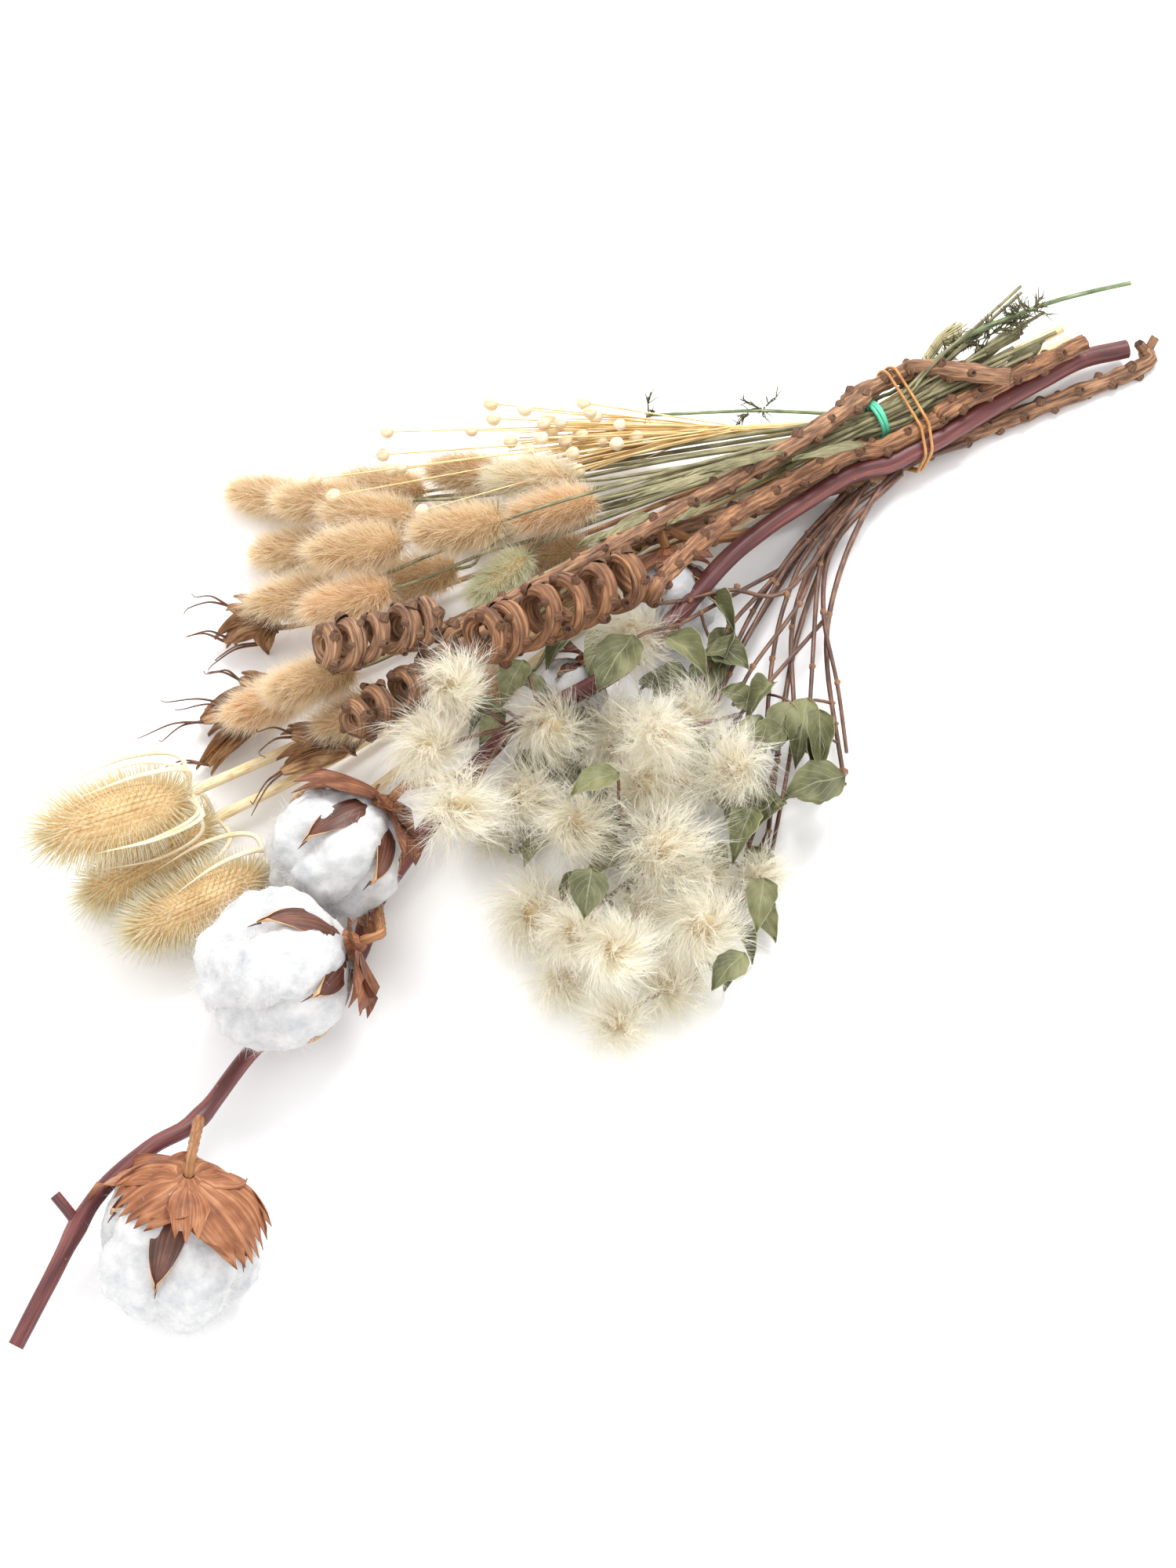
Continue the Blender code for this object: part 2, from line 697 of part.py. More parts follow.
def tail_stems(ends, heap):
    """The grass stems, side by side round a core of stems in the mint-green band."""
    across, height = SLOTS["tails"]
    middle = TIE + ACROSS * across * MM + Vector((0, 0, height * MM))
    draw = random.Random(7)
    core = [middle - ALONG * TIE_REACH * MM, middle + ALONG * TIE_STRAIGHT * MM]
    pieces = [tube(core, [GRASS_CORE * MM] * 2, 2)]
    paths = [core]
    for number, (end, way) in enumerate(ends):
        angle = number * SPIRAL_STEP
        offset = ACROSS * math.cos(angle) * GRASS_RING * MM
        offset += Vector((0, 0, math.sin(angle) * GRASS_RING * MM))
        start = end + way * GAP
        through = number % 3 == 0
        tied = [middle + offset * (1 if through else 0.5) + ALONG * at * MM
                for at in (-TIE_REACH, -6, TIE_STRAIGHT)][:3 if through else 2]
        arch = start.lerp(tied[0], 0.55) + Vector((0, 0, 5 * MM))
        route = [start, start + way * 10 * MM, arch] + tied
        cut = spot(draw.uniform(1215, 1330), draw.uniform(405, 455), draw.uniform(14, 28))
        path = curve_through(route + [cut] * through, 16 * MM)

        def held(at):
            return at < 2 or in_tie(path[at])
        path = clear_path(path, TAIL_STEM, heap, held, "grass")
        pieces.append(tube(path, [TAIL_STEM * MM] * len(path)))
        paths.append(path)
    for path in paths:
        add_rods(heap, path, TAIL_STEM * MM)
    return finish(fuse(pieces), "bunny_tail_stems", "tail_stems")


# Spiral stems

# Front and back pixels of the coil, its radius and turns, and the stem's places to the tie
COILS = [
    ((402, 832), (568, 786), 12.5, 5.0,
     [(700, 745, 54), (800, 700, 54), (891, 636, 50), (977, 594, 47), (1054, 549, 44), (1100, 508, 38)],
     [(1202, 474, 38), (1253, 478, 40), (1289, 481, 40)], 4.3),
    ((602, 822), (822, 730), 15.0, 6.0,
     [(866, 696, 50), (949, 648, 44), (1006, 616, 40), (1063, 590, 34)],
     [(1227, 512, 29), (1304, 478, 28), (1383, 437, 26)], 4.2),
    ((442, 927), (552, 858), 11.5, 3.5,
     [(650, 800, 34), (760, 745, 26), (900, 680, 20), (1030, 620, 15)],
     [(1268, 549, 6), (1381, 493, 5), (1462, 450, 4)], 4.0),
]
STRAND = 3.6
POINTS_PER_TURN = 6


def coil_stem(index, heap):
    """A brown stem with leaf scars that ends in a coil."""
    front_pixel, back_pixel, radius, turns, places, cut_places, thick = COILS[index]
    name = f"coil_stem_{index + 1}"
    front, back = lay(heap, front_pixel, back_pixel, radius, tilt=2.0)
    axis = (back - front).normalized()
    side = axis.cross(Vector((0, 0, 1))).normalized()
    up = side.cross(axis)
    total = round(turns * POINTS_PER_TURN)
    ring = (radius - STRAND) * MM
    wind = []
    for step in range(total + 1):
        angle = 2 * math.pi * step / POINTS_PER_TURN
        around = side * math.cos(angle) * ring + up * math.sin(angle) * ring
        wind.append(front.lerp(back, step / total) + around)
    outer = curve_through([wind[-1]] + spots(places) + through_tie(name) + spots(cut_places), 11 * MM)

    def held(at):
        return at < 2 or in_tie(outer[at])
    outer = clear_path(outer, thick, heap[:-1], held, "coil")
    add_rods(heap, outer, thick * MM)
    path = wind + outer[1:]
    radii = [STRAND * MM] * len(wind) + [thick * MM] * (len(outer) - 1)
    finish(tube(path, radii, 1), name, "coil_stem")


# Horned pods

# For each stalk: its places from the pods to the tie, and its pods as (base, tip, horn's end)
PODS = [
    [([(345, 800, 12), (460, 790, 8), (700, 700, 8)],
      [((345, 800, 12), (296, 774, 18), (240, 776, 24)), ((345, 800, 12), (286, 818, 10), (238, 812, 16)),
       ((345, 800, 12), (330, 822, 5), (270, 849, 8))])],
    [([(352, 900, 10), (470, 850, 8), (720, 720, 8)],
      [((352, 900, 10), (307, 868, 16), (262, 860, 22)), ((352, 900, 10), (258, 920, 8), (206, 946, 12)),
       ((352, 900, 10), (262, 975, 5), (212, 978, 9)), ((352, 900, 10), (300, 905, 20), (232, 905, 30))])],
    [([(440, 960, 20), (560, 880, 12), (760, 740, 8)],
      [((440, 960, 20), (358, 984, 25), (322, 1026, 30)),
       ((440, 960, 20), (372, 940, 30), (330, 960, 38))])],
]
POD_STEM = 1.4
POD_RADII = (1.3, 3.7, 3.3, 1.1, 0.6, 0.4)
POD_ROOM = 4.2


def pod(base, tip, horn_end):
    """A papery follicle that narrows into a thin horn."""
    bow = Vector((0, 0, 5 * MM))
    path = [base, base.lerp(tip, 0.35) + bow * 0.4, base.lerp(tip, 0.7) + bow * 0.4, tip]
    path += [tip.lerp(horn_end, 0.5) + bow, horn_end]
    return tube(path, [radius * MM for radius in POD_RADII])


def pods(index, heap):
    """One node: a few stalks with their follicles."""
    name = f"horned_pods_{index + 1}"
    slot = f"pods_{index + 1}"
    pieces = []
    for places, follicles in PODS[index]:
        path = curve_through(spots(places) + through_tie(slot) + [cut_end(slot, 60)], 11 * MM)

        def held(at):
            return at < 2 or in_tie(path[at])
        path = clear_path(path, POD_STEM, heap, held, "pod")
        pieces.append(tube(path, [POD_STEM * MM] * len(path)))
        add_rods(heap, path, POD_STEM * MM)
        for places_of in follicles:
            base, tip, horn_end = spots(places_of)
            pieces.append(pod(base, tip, horn_end))
            heap.append((base, tip, POD_ROOM * MM))
    finish(onto_surface(fuse(pieces)), name, "horned_pods")


# Flax

CAPSULES = [
    (627, 515), (670, 522), (630, 534), (602, 549), (745, 514), (753, 526), (705, 548), (716, 539),
    (743, 555), (691, 559), (494, 551), (489, 580), (513, 596), (791, 542), (787, 566), (731, 578),
]
STRAW_ENDS = [(648, 575), (690, 600), (760, 560)]
FLAX_NECK = (940, 552, 24)


def flax(heap):
    """Thin straws in one sheaf, each with a round capsule or a bare broken end."""
    draw = random.Random(3)
    neck = spot(*FLAX_NECK)
    line = curve_through([neck] + through_tie("flax") + [cut_end("flax", 34, 1.5)], 14 * MM)
    sheaf = clear_path(line, 3.0, heap, lambda at: in_tie(line[at]), "sheaf")
    neck = sheaf[0]
    pieces = [tube(sheaf, taper(sheaf, *SHEAF), 1)]
    for index, place in enumerate(CAPSULES + STRAW_ENDS):
        bare = index >= len(CAPSULES)
        end = spot(*place, draw.uniform(14, 26) if bare else draw.uniform(26, 52))
        root = neck + (ACROSS * draw.uniform(-1.2, 1.2) + Vector((0, 0, draw.uniform(-1.2, 1.2)))) * MM
        root += ALONG * 3 * MM
        middle = root.lerp(end, 0.6) + Vector((0, 0, draw.uniform(-4, 4) * MM))
        straw = curve_through([root, middle, end], 20 * MM)
        fixed = (0,) if bare else (0, len(straw) - 1)
        straw = clear_path(straw, STRAW, heap, lambda at: at in fixed, "straw")
        pieces.append(tube(straw, [STRAW * MM] * len(straw)))
        if not bare:
            bm = bmesh.new()
            bmesh.ops.create_icosphere(bm, subdivisions=1, radius=CAPSULE_RADIUS * MM)
            bm.transform(Matrix.Translation(end))
            pieces.append(solid_from(bm))
            heap.append((end, end, CAPSULE_RADIUS * MM))
    add_rods(heap, sheaf, SHEAF[1] * MM)
    finish(fuse(pieces), "flax_spray", "flax_spray")


def sprig(heap):
    """A dark green stalk with thread-like leaves at two places."""
    route = spots([(824, 530, 16), (965, 524, 20)]) + through_tie("sprig")
    route += spots([(1235, 428, 40), (1322, 392, 44)])
    path = curve_through(route, 30 * MM)
    pieces = [tube(path, taper(path, 0.9, 1.3))]
    draw = random.Random(5)
    for middle, count in ((route[0], 3), (route[1], 4), (route[-1], 7)):
        for number in range(count):
            root = middle + (ALONG * draw.uniform(-6, 6)) * MM
            if middle is route[-1]:
                root = path[-2].lerp(path[-1], draw.uniform(0.4, 0.98))
            way = Vector((draw.uniform(-1, 1), draw.uniform(-1, 1), draw.uniform(-0.5, 1)))
            tip = root + way.normalized() * draw.uniform(8, 15) * MM
            pieces.append(tube([root, tip], taper([root, tip], *THREAD)))
    finish(fuse(pieces), "green_sprig", "green_sprig")


# Clematis

# Each stem: its places from the tie; its twigs, as (places, heads with their sizes); its leaves
VINES = [
    ([(1100, 618, 13), (1057, 686, 16), (1028, 780, 16), (1043, 880, 14), (1075, 985, 8)],
     [([(1028, 780, 16), (985, 850, 16), (950, 905, 16)],
       [(872, 996, 0.9, 0), (936, 973, 1.0, 1), (843, 935, 0.95, 1)])],
     [((1030, 890), (1015, 975), 10), ((1045, 905), (1046, 985), 9), ((1078, 990), (1000, 1015), 11)]),
    ([(1085, 622, 4), (1040, 693, 6), (1003, 770, 9), (1000, 900, 9), (985, 1010, 8), (972, 1130, 6)],
     [([(990, 970, 8), (965, 1040, 8), (945, 1110, 9)], [(971, 1117, 0.65, 0), (897, 1181, 1.1, 1)]),
      ([(980, 1060, 7), (930, 1180, 6), (890, 1235, 7)], [(856, 1254, 0.95, 0), (786, 1299, 0.9, 0)])],
     [((965, 985), (925, 1045), 10), ((960, 1030), (935, 1095), 10), ((975, 1120), (965, 1185), 9),
      ((950, 1215), (908, 1262), 8), ((1000, 930), (962, 962), 9)]),
    ([(1072, 625, 4), (1018, 690, 8), (975, 760, 12), (925, 850, 14), (880, 950, 12), (840, 1060, 9),
      (800, 1150, 7)],
     [([(1010, 700, 17), (960, 745, 40), (900, 778, 45), (860, 800, 48)], [(806, 810, 1.0, 1)]),
      ([(925, 850, 16), (860, 900, 18), (790, 935, 20)], [(789, 957, 1.05, 1), (702, 930, 1.0, 1)]),
      ([(830, 918, 19), (740, 940, 32), (660, 925, 42)],
       [(578, 870, 0.8, 0), (545, 955, 1.0, 0), (588, 1030, 1.1, 1)]),
      ([(880, 950, 12), (810, 1000, 10), (750, 1035, 9)],
       [(636, 1066, 0.7, 0), (671, 1015, 0.95, 1), (738, 1052, 1.0, 1)]),
      ([(855, 1020, 10), (835, 1050, 10)], [(824, 1000, 0.95, 0), (850, 1079, 1.2, 1)]),
      ([(820, 1110, 8), (770, 1150, 8)],
       [(722, 1252, 0.85, 0), (735, 1190, 0.9, 0), (684, 1165, 1.2, 1)]),
      ([(800, 1150, 7), (800, 1175, 8)], [(826, 1165, 1.0, 0), (786, 1212, 0.95, 0)])],
     [((808, 810), (762, 880), 12), ((668, 842), (640, 897), 9), ((640, 900), (598, 930), 8),
      ((755, 1108), (745, 1170), 10), ((790, 985), (728, 1012), 9), ((850, 812), (902, 855), 11),
      ((915, 832), (885, 905), 10), ((905, 822), (955, 850), 10), ((815, 868), (882, 898), 11)]),
]
TWIG = 1.2
LEAF_LOWEST = 20.0


def leaf(base, tip, half_width, seed):
    """A pointed leaf with a folded rib, waved edges and a drooping tip."""
    draw = random.Random(seed)
    axis = tip - base
    side = axis.cross(Vector((0, 0, 1))).normalized()
    up = side.cross(axis).normalized()
    wave = draw.uniform(0.5, 2.0)
    twist = draw.uniform(-0.25, 0.25)

    def shape(part, edge):
        width = max(half_width * MM * math.sin(math.pi * part ** 0.75) ** 0.9, 0.5 * MM)
        lift = 3 * MM * math.sin(math.pi * part) ** 2
        lift += abs(edge) * 2.0 * MM * math.sin(wave + 7 * part) * min(1.0, 3 * part)
        return base + axis * part + side * edge * width + up * (lift + edge * twist * width)
    return blade(shape, (3, 2), LEAF_THICKNESS * MM)


def leaf_rods(base, tip, half_width):
    """The room that a leaf takes: its middle and both sides."""
    side = (tip - base).cross(Vector((0, 0, 1))).normalized() * half_width * 0.7 * MM
    return [(base + side * k, tip + side * k, 3.6 * MM) for k in (-1, 0, 1)]


def lay_leaf(heap, base_pixel, tip_pixel, half_width):
    """Lay a leaf flat on the heap, its middle and both sides clear."""
    height = LEAF_LOWEST
    while True:
        base, tip = spot(*base_pixel, height), spot(*tip_pixel, height)
        rods = leaf_rods(base, tip, half_width)
        if all(clear_of(heap, *rod) for rod in rods):
            heap += rods
            return base, tip
        height += 1.0


def vine(index, heap):
    """A thin stem and its twigs, laid low; gives the places where heads are to grow."""
    places, twigs, _ = VINES[index]
    name = f"clematis_{index + 1}"
    rods = []
    line = curve_through([cut_end(name, 12, 0)] + through_tie(name)[::-1] + spots(places), 12 * MM)
    main_path = clear_path(line, VINE_STEM, heap, lambda at: in_tie(line[at]), "vine")
    tubes = [tube(main_path, taper(main_path, VINE_STEM, 1.2))]
    add_rods(rods, main_path, VINE_STEM * MM)
    ends = []
    grips = list(rods)
    for twig_places, _ in twigs:
        path = spots(twig_places)
        path[0] = min((nearest_on(rod, path[0]) for rod in rods), key=lambda p: (p - path[0]).length)
        path = curve_through(path, 12 * MM)
        path = clear_path(path, TWIG, heap, lambda at: at < 1, "twig")
        tubes.append(tube(path, [TWIG * MM] * len(path)))
        add_rods(rods, path, TWIG * MM)
        way = (path[-1] - path[-2]).normalized()
        add_rods(grips, path[:-1] + [path[-1] - way * 4 * MM], TWIG * MM)
        ends.append((path[-1], way))
    heap += rods
    return tubes, rods, grips, ends


def lay_heads(twigs, heap):
    """Lay the seed heads, the lower ones first; gives each twig's heads as (middle, radius)."""
    laid = {}
    for layer in (0, 1):
        for key, heads in twigs.items():
            for u, v, size, level in heads:
                if level == layer:
                    middle, _ = lay(heap, (u, v), (u, v), SILK_RADIUS * size)
                    laid.setdefault(key, []).append((middle, SILK_RADIUS * size * MM))
    return laid


def silk_heads(name, end, heads, heap):
    """Silky seed heads on a forked stalk that starts at a twig's end."""
    tip, way = end
    start = tip + way * GAP
    fork = start + way * 5 * MM
    own = [(middle, middle, radius) for middle, radius in heads]
    others = [rod for rod in heap if rod not in own]
    pieces = []
    for order, (middle, radius) in enumerate(heads):
        out = (middle - fork).normalized()
        base, far = middle - out * radius, middle + out * radius
        pieces.append(onto_surface(burr(base, far, radius, 5, 4, 0.70, swirl=0.6, slim=0.05)))
        path = curve_through([start.lerp(fork, 0.3 * order), fork, middle], 14 * MM)
        path = clear_path(path, TWIG, others, lambda at: at < 2, "head")
        pieces.append(tube(path, [(TWIG - 0.1 * order) * MM] * len(path)))
        add_rods(heap, path, TWIG * MM)
    finish(fuse(pieces), name, "clematis_heads")


def leafy_stem(index, tubes, rods, grips, places, heap):
    """The leaves and their stalks, fused to the stem that they grow from."""
    for order, (base, tip, half_width) in enumerate(places):
        root = min((nearest_on(rod, base) for rod in grips), key=lambda p: (p - base).length)
        own = rods + leaf_rods(base, tip, half_width)
        others = [rod for rod in heap if rod not in own]
        path = curve_through([base.lerp(tip, 0.2), base, root], 12 * MM)
        last = len(path) - 1
        path = clear_path(path, PETIOLE, others, lambda at: at < 2 or at == last, "petiole")
        tubes.append(tube(path, [PETIOLE * MM] * len(path)))
        tubes.append(leaf(base, tip, half_width, 100 * index + order))
        add_rods(heap, path, PETIOLE * MM)
    name = f"clematis_stem_{index + 1}"
    finish(onto_surface(fuse(tubes)), name, "clematis_stem")


def clematis(heap):
    """The leafy stems, laid first, and the seed heads and leaves on top of them."""
    grown = [vine(index, heap) for index in range(len(VINES))]
    twigs = {}
    ends = {}
    for index, (_, parts, _) in enumerate(VINES):
        for order, (_, heads) in enumerate(parts):
            twigs[index, order] = heads
            ends[index, order] = grown[index][3][order]
    laid = lay_heads(twigs, heap)
    leaves = [[(*lay_leaf(heap, base, tip, width), width) for base, tip, width in VINES[index][2]]
              for index in range(len(VINES))]
    for number, key in enumerate(sorted(laid), 1):
        silk_heads(f"clematis_heads_{number:02d}", ends[key], laid[key], heap)
    for index, (tubes, rods, grips, _) in enumerate(grown):
        leafy_stem(index, tubes, rods, grips, leaves[index], heap)


# Rubber bands

# Each thicker stem's radius in the tie, in millimetres; the others are thin
TIED_RADII = {
    "coil_stem_1": 4.3, "coil_stem_2": 4.2, "coil_stem_3": 4.0, "cotton": 5.0, "tails": 7.8,
    "flax": 3.3, "teasel_1": 2.5, "teasel_2": 2.5, "teasel_3": 2.5, "sprig": 1.3,
}
THIN_RADIUS = 2.0
BAND_SLACK = 0.6
BAND_CORNERS = 12


def hull(points):
    """The outline round a set of (across, height) points."""
    points = sorted(set(points))
    outline = []
    for order in (points, points[::-1]):
        side = []
        for x, y in order:
            while len(side) > 1:
                (ax, ay), (bx, by) = side[-2:]
                if (bx - ax) * (y - ay) - (by - ay) * (x - ax) > 0:
                    break
                side.pop()
            side.append((x, y))
        outline += side[:-1]
    return outline


def band(name, discs, offset):
    """A rubber band drawn tight round the stems' discs (across, height, radius)."""
    points = []
    for across, height, radius in discs:
        reach = radius + BAND + BAND_SLACK
        for step in range(BAND_CORNERS):
            angle = 2 * math.pi * step / BAND_CORNERS
            corner = across + reach * math.cos(angle), height + reach * math.sin(angle)
            points.append((round(corner[0], 3), round(corner[1], 3)))
    outline = hull(points)
    middle = TIE + ALONG * offset * MM
    path = [middle + (ACROSS * across + Vector((0, 0, height))) * MM for across, height in outline]
    curve = bpy.data.curves.new(name, "CURVE")
    curve.dimensions = "3D"
    curve.bevel_depth = BAND * MM
    curve.bevel_resolution = 1
    spline = curve.splines.new("POLY")
    spline.points.add(len(path) - 1)
    for place, point in zip(spline.points, path):
        place.co = (*point, 1.0)
    spline.use_cyclic_u = True
    ring = bpy.data.objects.new(name, curve)
    BUNCH.objects.link(ring)
    finish(as_mesh(ring), name, name)


def bands():
    """The tan band round all the stems, and the mint-green one round the grass alone."""
    band("tan_band", [(*SLOTS[name], TIED_RADII.get(name, THIN_RADIUS)) for name in SLOTS], 0.0)
    band("mint_band", [(*SLOTS["tails"], TIED_RADII["tails"] - 0.3)], MINT_OFFSET)


def main():
    for obj in list(bpy.data.objects):
        bpy.data.objects.remove(obj)
    bpy.context.scene.collection.children.link(BUNCH)
    heap = []
    cotton(heap)
    teasels(heap)
    for index in range(len(PODS)):
        pods(index, heap)
    ends = tails(heap)
    coil_stem(2, heap)
    tail_stems(ends, heap)
    coil_stem(0, heap)
    coil_stem(1, heap)
    flax(heap)
    sprig(heap)
    clematis(heap)
    bands()


main()
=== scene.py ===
"""The dressed bunch of dried flowers, laid out by the same rules as its solids.

The place functions lay every path and head as the solids are laid, from places in the photograph:
a pixel across, a pixel down and a height above the surface in millimetres. The dress functions then
give them bark, hairs, spines, plumes or veins. Metres, +Z up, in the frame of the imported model.
"""
import math
import random

import bmesh
import bpy
import numpy as np
from mathutils import Matrix, Vector, noise
from mathutils.geometry import intersect_point_line


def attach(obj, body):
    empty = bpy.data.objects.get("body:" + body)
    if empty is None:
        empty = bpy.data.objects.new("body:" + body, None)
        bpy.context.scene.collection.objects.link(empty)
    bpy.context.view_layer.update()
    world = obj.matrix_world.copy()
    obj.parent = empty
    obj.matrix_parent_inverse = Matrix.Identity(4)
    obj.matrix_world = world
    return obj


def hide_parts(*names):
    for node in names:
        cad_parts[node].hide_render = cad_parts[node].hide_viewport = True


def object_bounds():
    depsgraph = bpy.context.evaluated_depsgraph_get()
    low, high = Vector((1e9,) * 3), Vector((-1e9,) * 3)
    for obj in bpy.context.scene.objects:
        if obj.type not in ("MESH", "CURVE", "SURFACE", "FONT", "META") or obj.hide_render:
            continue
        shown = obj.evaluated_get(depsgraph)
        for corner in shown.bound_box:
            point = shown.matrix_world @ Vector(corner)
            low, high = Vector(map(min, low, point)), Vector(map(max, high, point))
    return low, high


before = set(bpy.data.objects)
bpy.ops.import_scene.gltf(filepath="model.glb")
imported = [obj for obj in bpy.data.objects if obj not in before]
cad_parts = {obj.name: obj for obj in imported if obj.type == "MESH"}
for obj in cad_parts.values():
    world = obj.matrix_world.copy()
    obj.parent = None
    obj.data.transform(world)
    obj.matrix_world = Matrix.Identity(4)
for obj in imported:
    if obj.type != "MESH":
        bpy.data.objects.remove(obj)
CAD_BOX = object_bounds()

MM = 0.001
GAP = 0.3 * MM
BEND_TURNS = 110

# Steps round that fill a disc or a ball evenly
DISC_ANGLE = 2.39996
GOLDEN_ANGLE = 2.399963

# How the photograph looks at the bunch
AIM_PIXEL = (750, 1000)
FRAME_PIXELS = 2000
FRAME_SPAN = 0.76
SIGHT_DISTANCE = 2.0
SIGHT_ELEVATION = math.radians(60)
SIGHT_TURN = math.radians(45)
AIM_POINT = Vector((0.0044, -0.0516, 0.0))

# Driving dimensions, in millimetres
COTTON_STEM = (5.0, 3.7)
BOLL_SCALE = 36.0
TAIL_LENGTH = 47.0
TAIL_RADIUS = 11.0
TAIL_STEM = 1.3
TEASEL_LENGTH = 76.0
TEASEL_RADIUS = 20.0
SILK_RADIUS = 17.0
VINE_STEM = 1.9
STRAW = 0.55
CAPSULE_RADIUS = 3.4
TIE_REACH = 19.0
TIE_STRAIGHT = 14.0
MINT_OFFSET = -11.0
BAND = 0.9


def view_axes():
    """The photograph's right, up and forward directions, in the bunch's own frame."""
    right = Vector((math.cos(SIGHT_TURN), -math.sin(SIGHT_TURN), 0))
    away = Vector((math.sin(SIGHT_TURN), math.cos(SIGHT_TURN), 0))
    forward = away * math.cos(SIGHT_ELEVATION) - Vector((0, 0, math.sin(SIGHT_ELEVATION)))
    return right, right.cross(forward), forward


RIGHT, UP, FORWARD = view_axes()


def spot(u, v, height):
    """The point that a pixel shows, where its line of sight is that high above the surface."""
    scale = FRAME_SPAN / FRAME_PIXELS / SIGHT_DISTANCE
    across = (u - AIM_PIXEL[0]) * scale
    up = (AIM_PIXEL[1] - v) * scale
    ray = FORWARD + RIGHT * across + UP * up
    eye = AIM_POINT - FORWARD * SIGHT_DISTANCE
    return eye + ray * ((height * MM - eye.z) / ray.z)


def spots(places):
    return [spot(*place) for place in places]


TIE = spot(1147, 541, 20) * Vector((1, 1, 0))
ALONG = (spot(1330, 483, 0) - spot(1083, 606, 0)).normalized()
ACROSS = Vector((0, 0, 1)).cross(ALONG)
SLOTS = {
    "coil_stem_1": (19.0, 31.0),
    "coil_stem_2": (-11.4, 27.2),
    "coil_stem_3": (-14.5, 10.5),
    "cotton": (-18.0, 20.5),
    "tails": (4.5, 26.0),
    "flax": (16.0, 16.4),
    "teasel_1": (10.4, 10.5),
    "teasel_2": (5.0, 10.0),
    "teasel_3": (-0.4, 10.2),
    "pods_1": (14.5, 11.8),
    "pods_2": (8.8, 6.5),
    "pods_3": (1.9, 6.4),
    "sprig": (19.2, 19.4),
    "clematis_1": (-20.8, 12.6),
    "clematis_2": (-7.5, 5.8),
    "clematis_3": (-3.4, 5.8),
}
BUNDLE_MIDDLE = (3.0, 17.0)


def through_tie(name):
    """The straight stretch of a stem in the bands, from the heads' side to the cut ends' side."""
    across, height = SLOTS[name]
    middle = TIE + ACROSS * across * MM + Vector((0, 0, height * MM))
    return [middle + ALONG * at * MM for at in (-TIE_REACH, -8, 3, TIE_STRAIGHT)]


def cut_end(name, length, spread=0.5):
    """Where a stem is cut, past the bands, with the stems fanned out as they are in the tie."""
    across, height = SLOTS[name]
    out = ACROSS * (across - BUNDLE_MIDDLE[0]) + Vector((0, 0, (height - BUNDLE_MIDDLE[1]) * 0.4))
    return through_tie(name)[-1] + (ALONG * length + out * spread) * MM


def in_sheaf(number, count, size):
    """The angle and the offset, across the tie, of one stem of many that fill a round sheaf."""
    out = math.sqrt((number + 0.5) / count) * size
    angle = number * DISC_ANGLE
    return angle, (ACROSS * math.cos(angle) + Vector((0, 0, 1)) * math.sin(angle)) * out * MM, out


def in_tie(point):
    """Whether a place lies in the straight stretch at the bands, where nothing may move."""
    return -TIE_REACH - 1 < (point - TIE).dot(ALONG) / MM < TIE_STRAIGHT + 1


def curve_through(points, spacing):
    """A smooth curve through the points, read about every spacing metres."""
    ends = [points[0] * 2 - points[1]] + points + [points[-1] * 2 - points[-2]]
    path = [points[0]]
    for p0, p1, p2, p3 in zip(ends, ends[1:], ends[2:], ends[3:]):
        steps = max(1, round((p2 - p1).length / spacing))
        for step in range(1, steps + 1):
            t = step / steps
            path.append(
                ((p1 * 2) + (p2 - p0) * t + (p0 * 2 - p1 * 5 + p2 * 4 - p3) * t * t
                 + (p1 * 3 - p0 - p2 * 3 + p3) * t ** 3) / 2
            )
    return path


def clear_path(path, radius, heap, room, tolerance, fixed=0, tied=True, last=False):
    """A path pushed out of the heap and thinned; its ends and its stretch in the tie can be held."""
    def held(at):
        return at < fixed or tied and in_tie(path[at]) or last and at == len(path) - 1
    return thin_out(bend_clear(path, radius, heap, held, room * MM), tolerance * MM)


def nearest_root(rods, point):
    """The place on any of the rods that lies nearest to a point."""
    return min((nearest_on(rod, point) for rod in rods), key=lambda place: (place - point).length)


def nearest_on(rod, point):
    """The nearest point on a rod's middle line."""
    start, end, _ = rod
    near, part = intersect_point_line(point, start, end)
    if part <= 0:
        return start
    return end if part >= 1 else near


def bend_clear(path, radius, heap, held, clearance):
    """Push a path out of what is laid already; held says which points stay."""
    path = [point.copy() for point in path]
    for turn in range(BEND_TURNS):
        for index, point in enumerate(path):
            if held(index):
                continue
            for rod in heap:
                near = nearest_on(rod, point)
                offset = point - near
                need = rod[2] + radius + clearance
                if offset.length < need:
                    push = offset.normalized() if offset.length > 1e-6 else Vector((0, 0, 1))
                    point += push * (need - offset.length)
            point.z = max(point.z, radius + 0.2 * MM)
        if turn < BEND_TURNS * 0.8:
            for index in range(1, len(path) - 1):
                if not held(index):
                    middle = (path[index - 1] + path[index + 1]) / 2
                    path[index] = path[index].lerp(middle, 0.25)
    return path


def thin_out(path, tolerance):
    """Keep only the points that the path's shape needs, and both ends of its stretch in the tie."""
    tied = [number for number, point in enumerate(path) if in_tie(point)]
    stops = sorted({0, *tied[:1], *tied[-1:], len(path) - 1})
    kept = path[:1]
    for start, end in zip(stops, stops[1:]):
        kept += thin_stretch(path[start:end + 1], tolerance)[1:]
    return kept


def thin_stretch(path, tolerance):
    if len(path) < 3:
        return path
    start, end = path[0], path[-1]
    gaps = [(point - nearest_on((start, end, 0), point)).length for point in path]
    widest = max(range(len(path)), key=gaps.__getitem__)
    if gaps[widest] < tolerance:
        return [start, end]
    return thin_stretch(path[:widest + 1], tolerance)[:-1] + thin_stretch(path[widest:], tolerance)


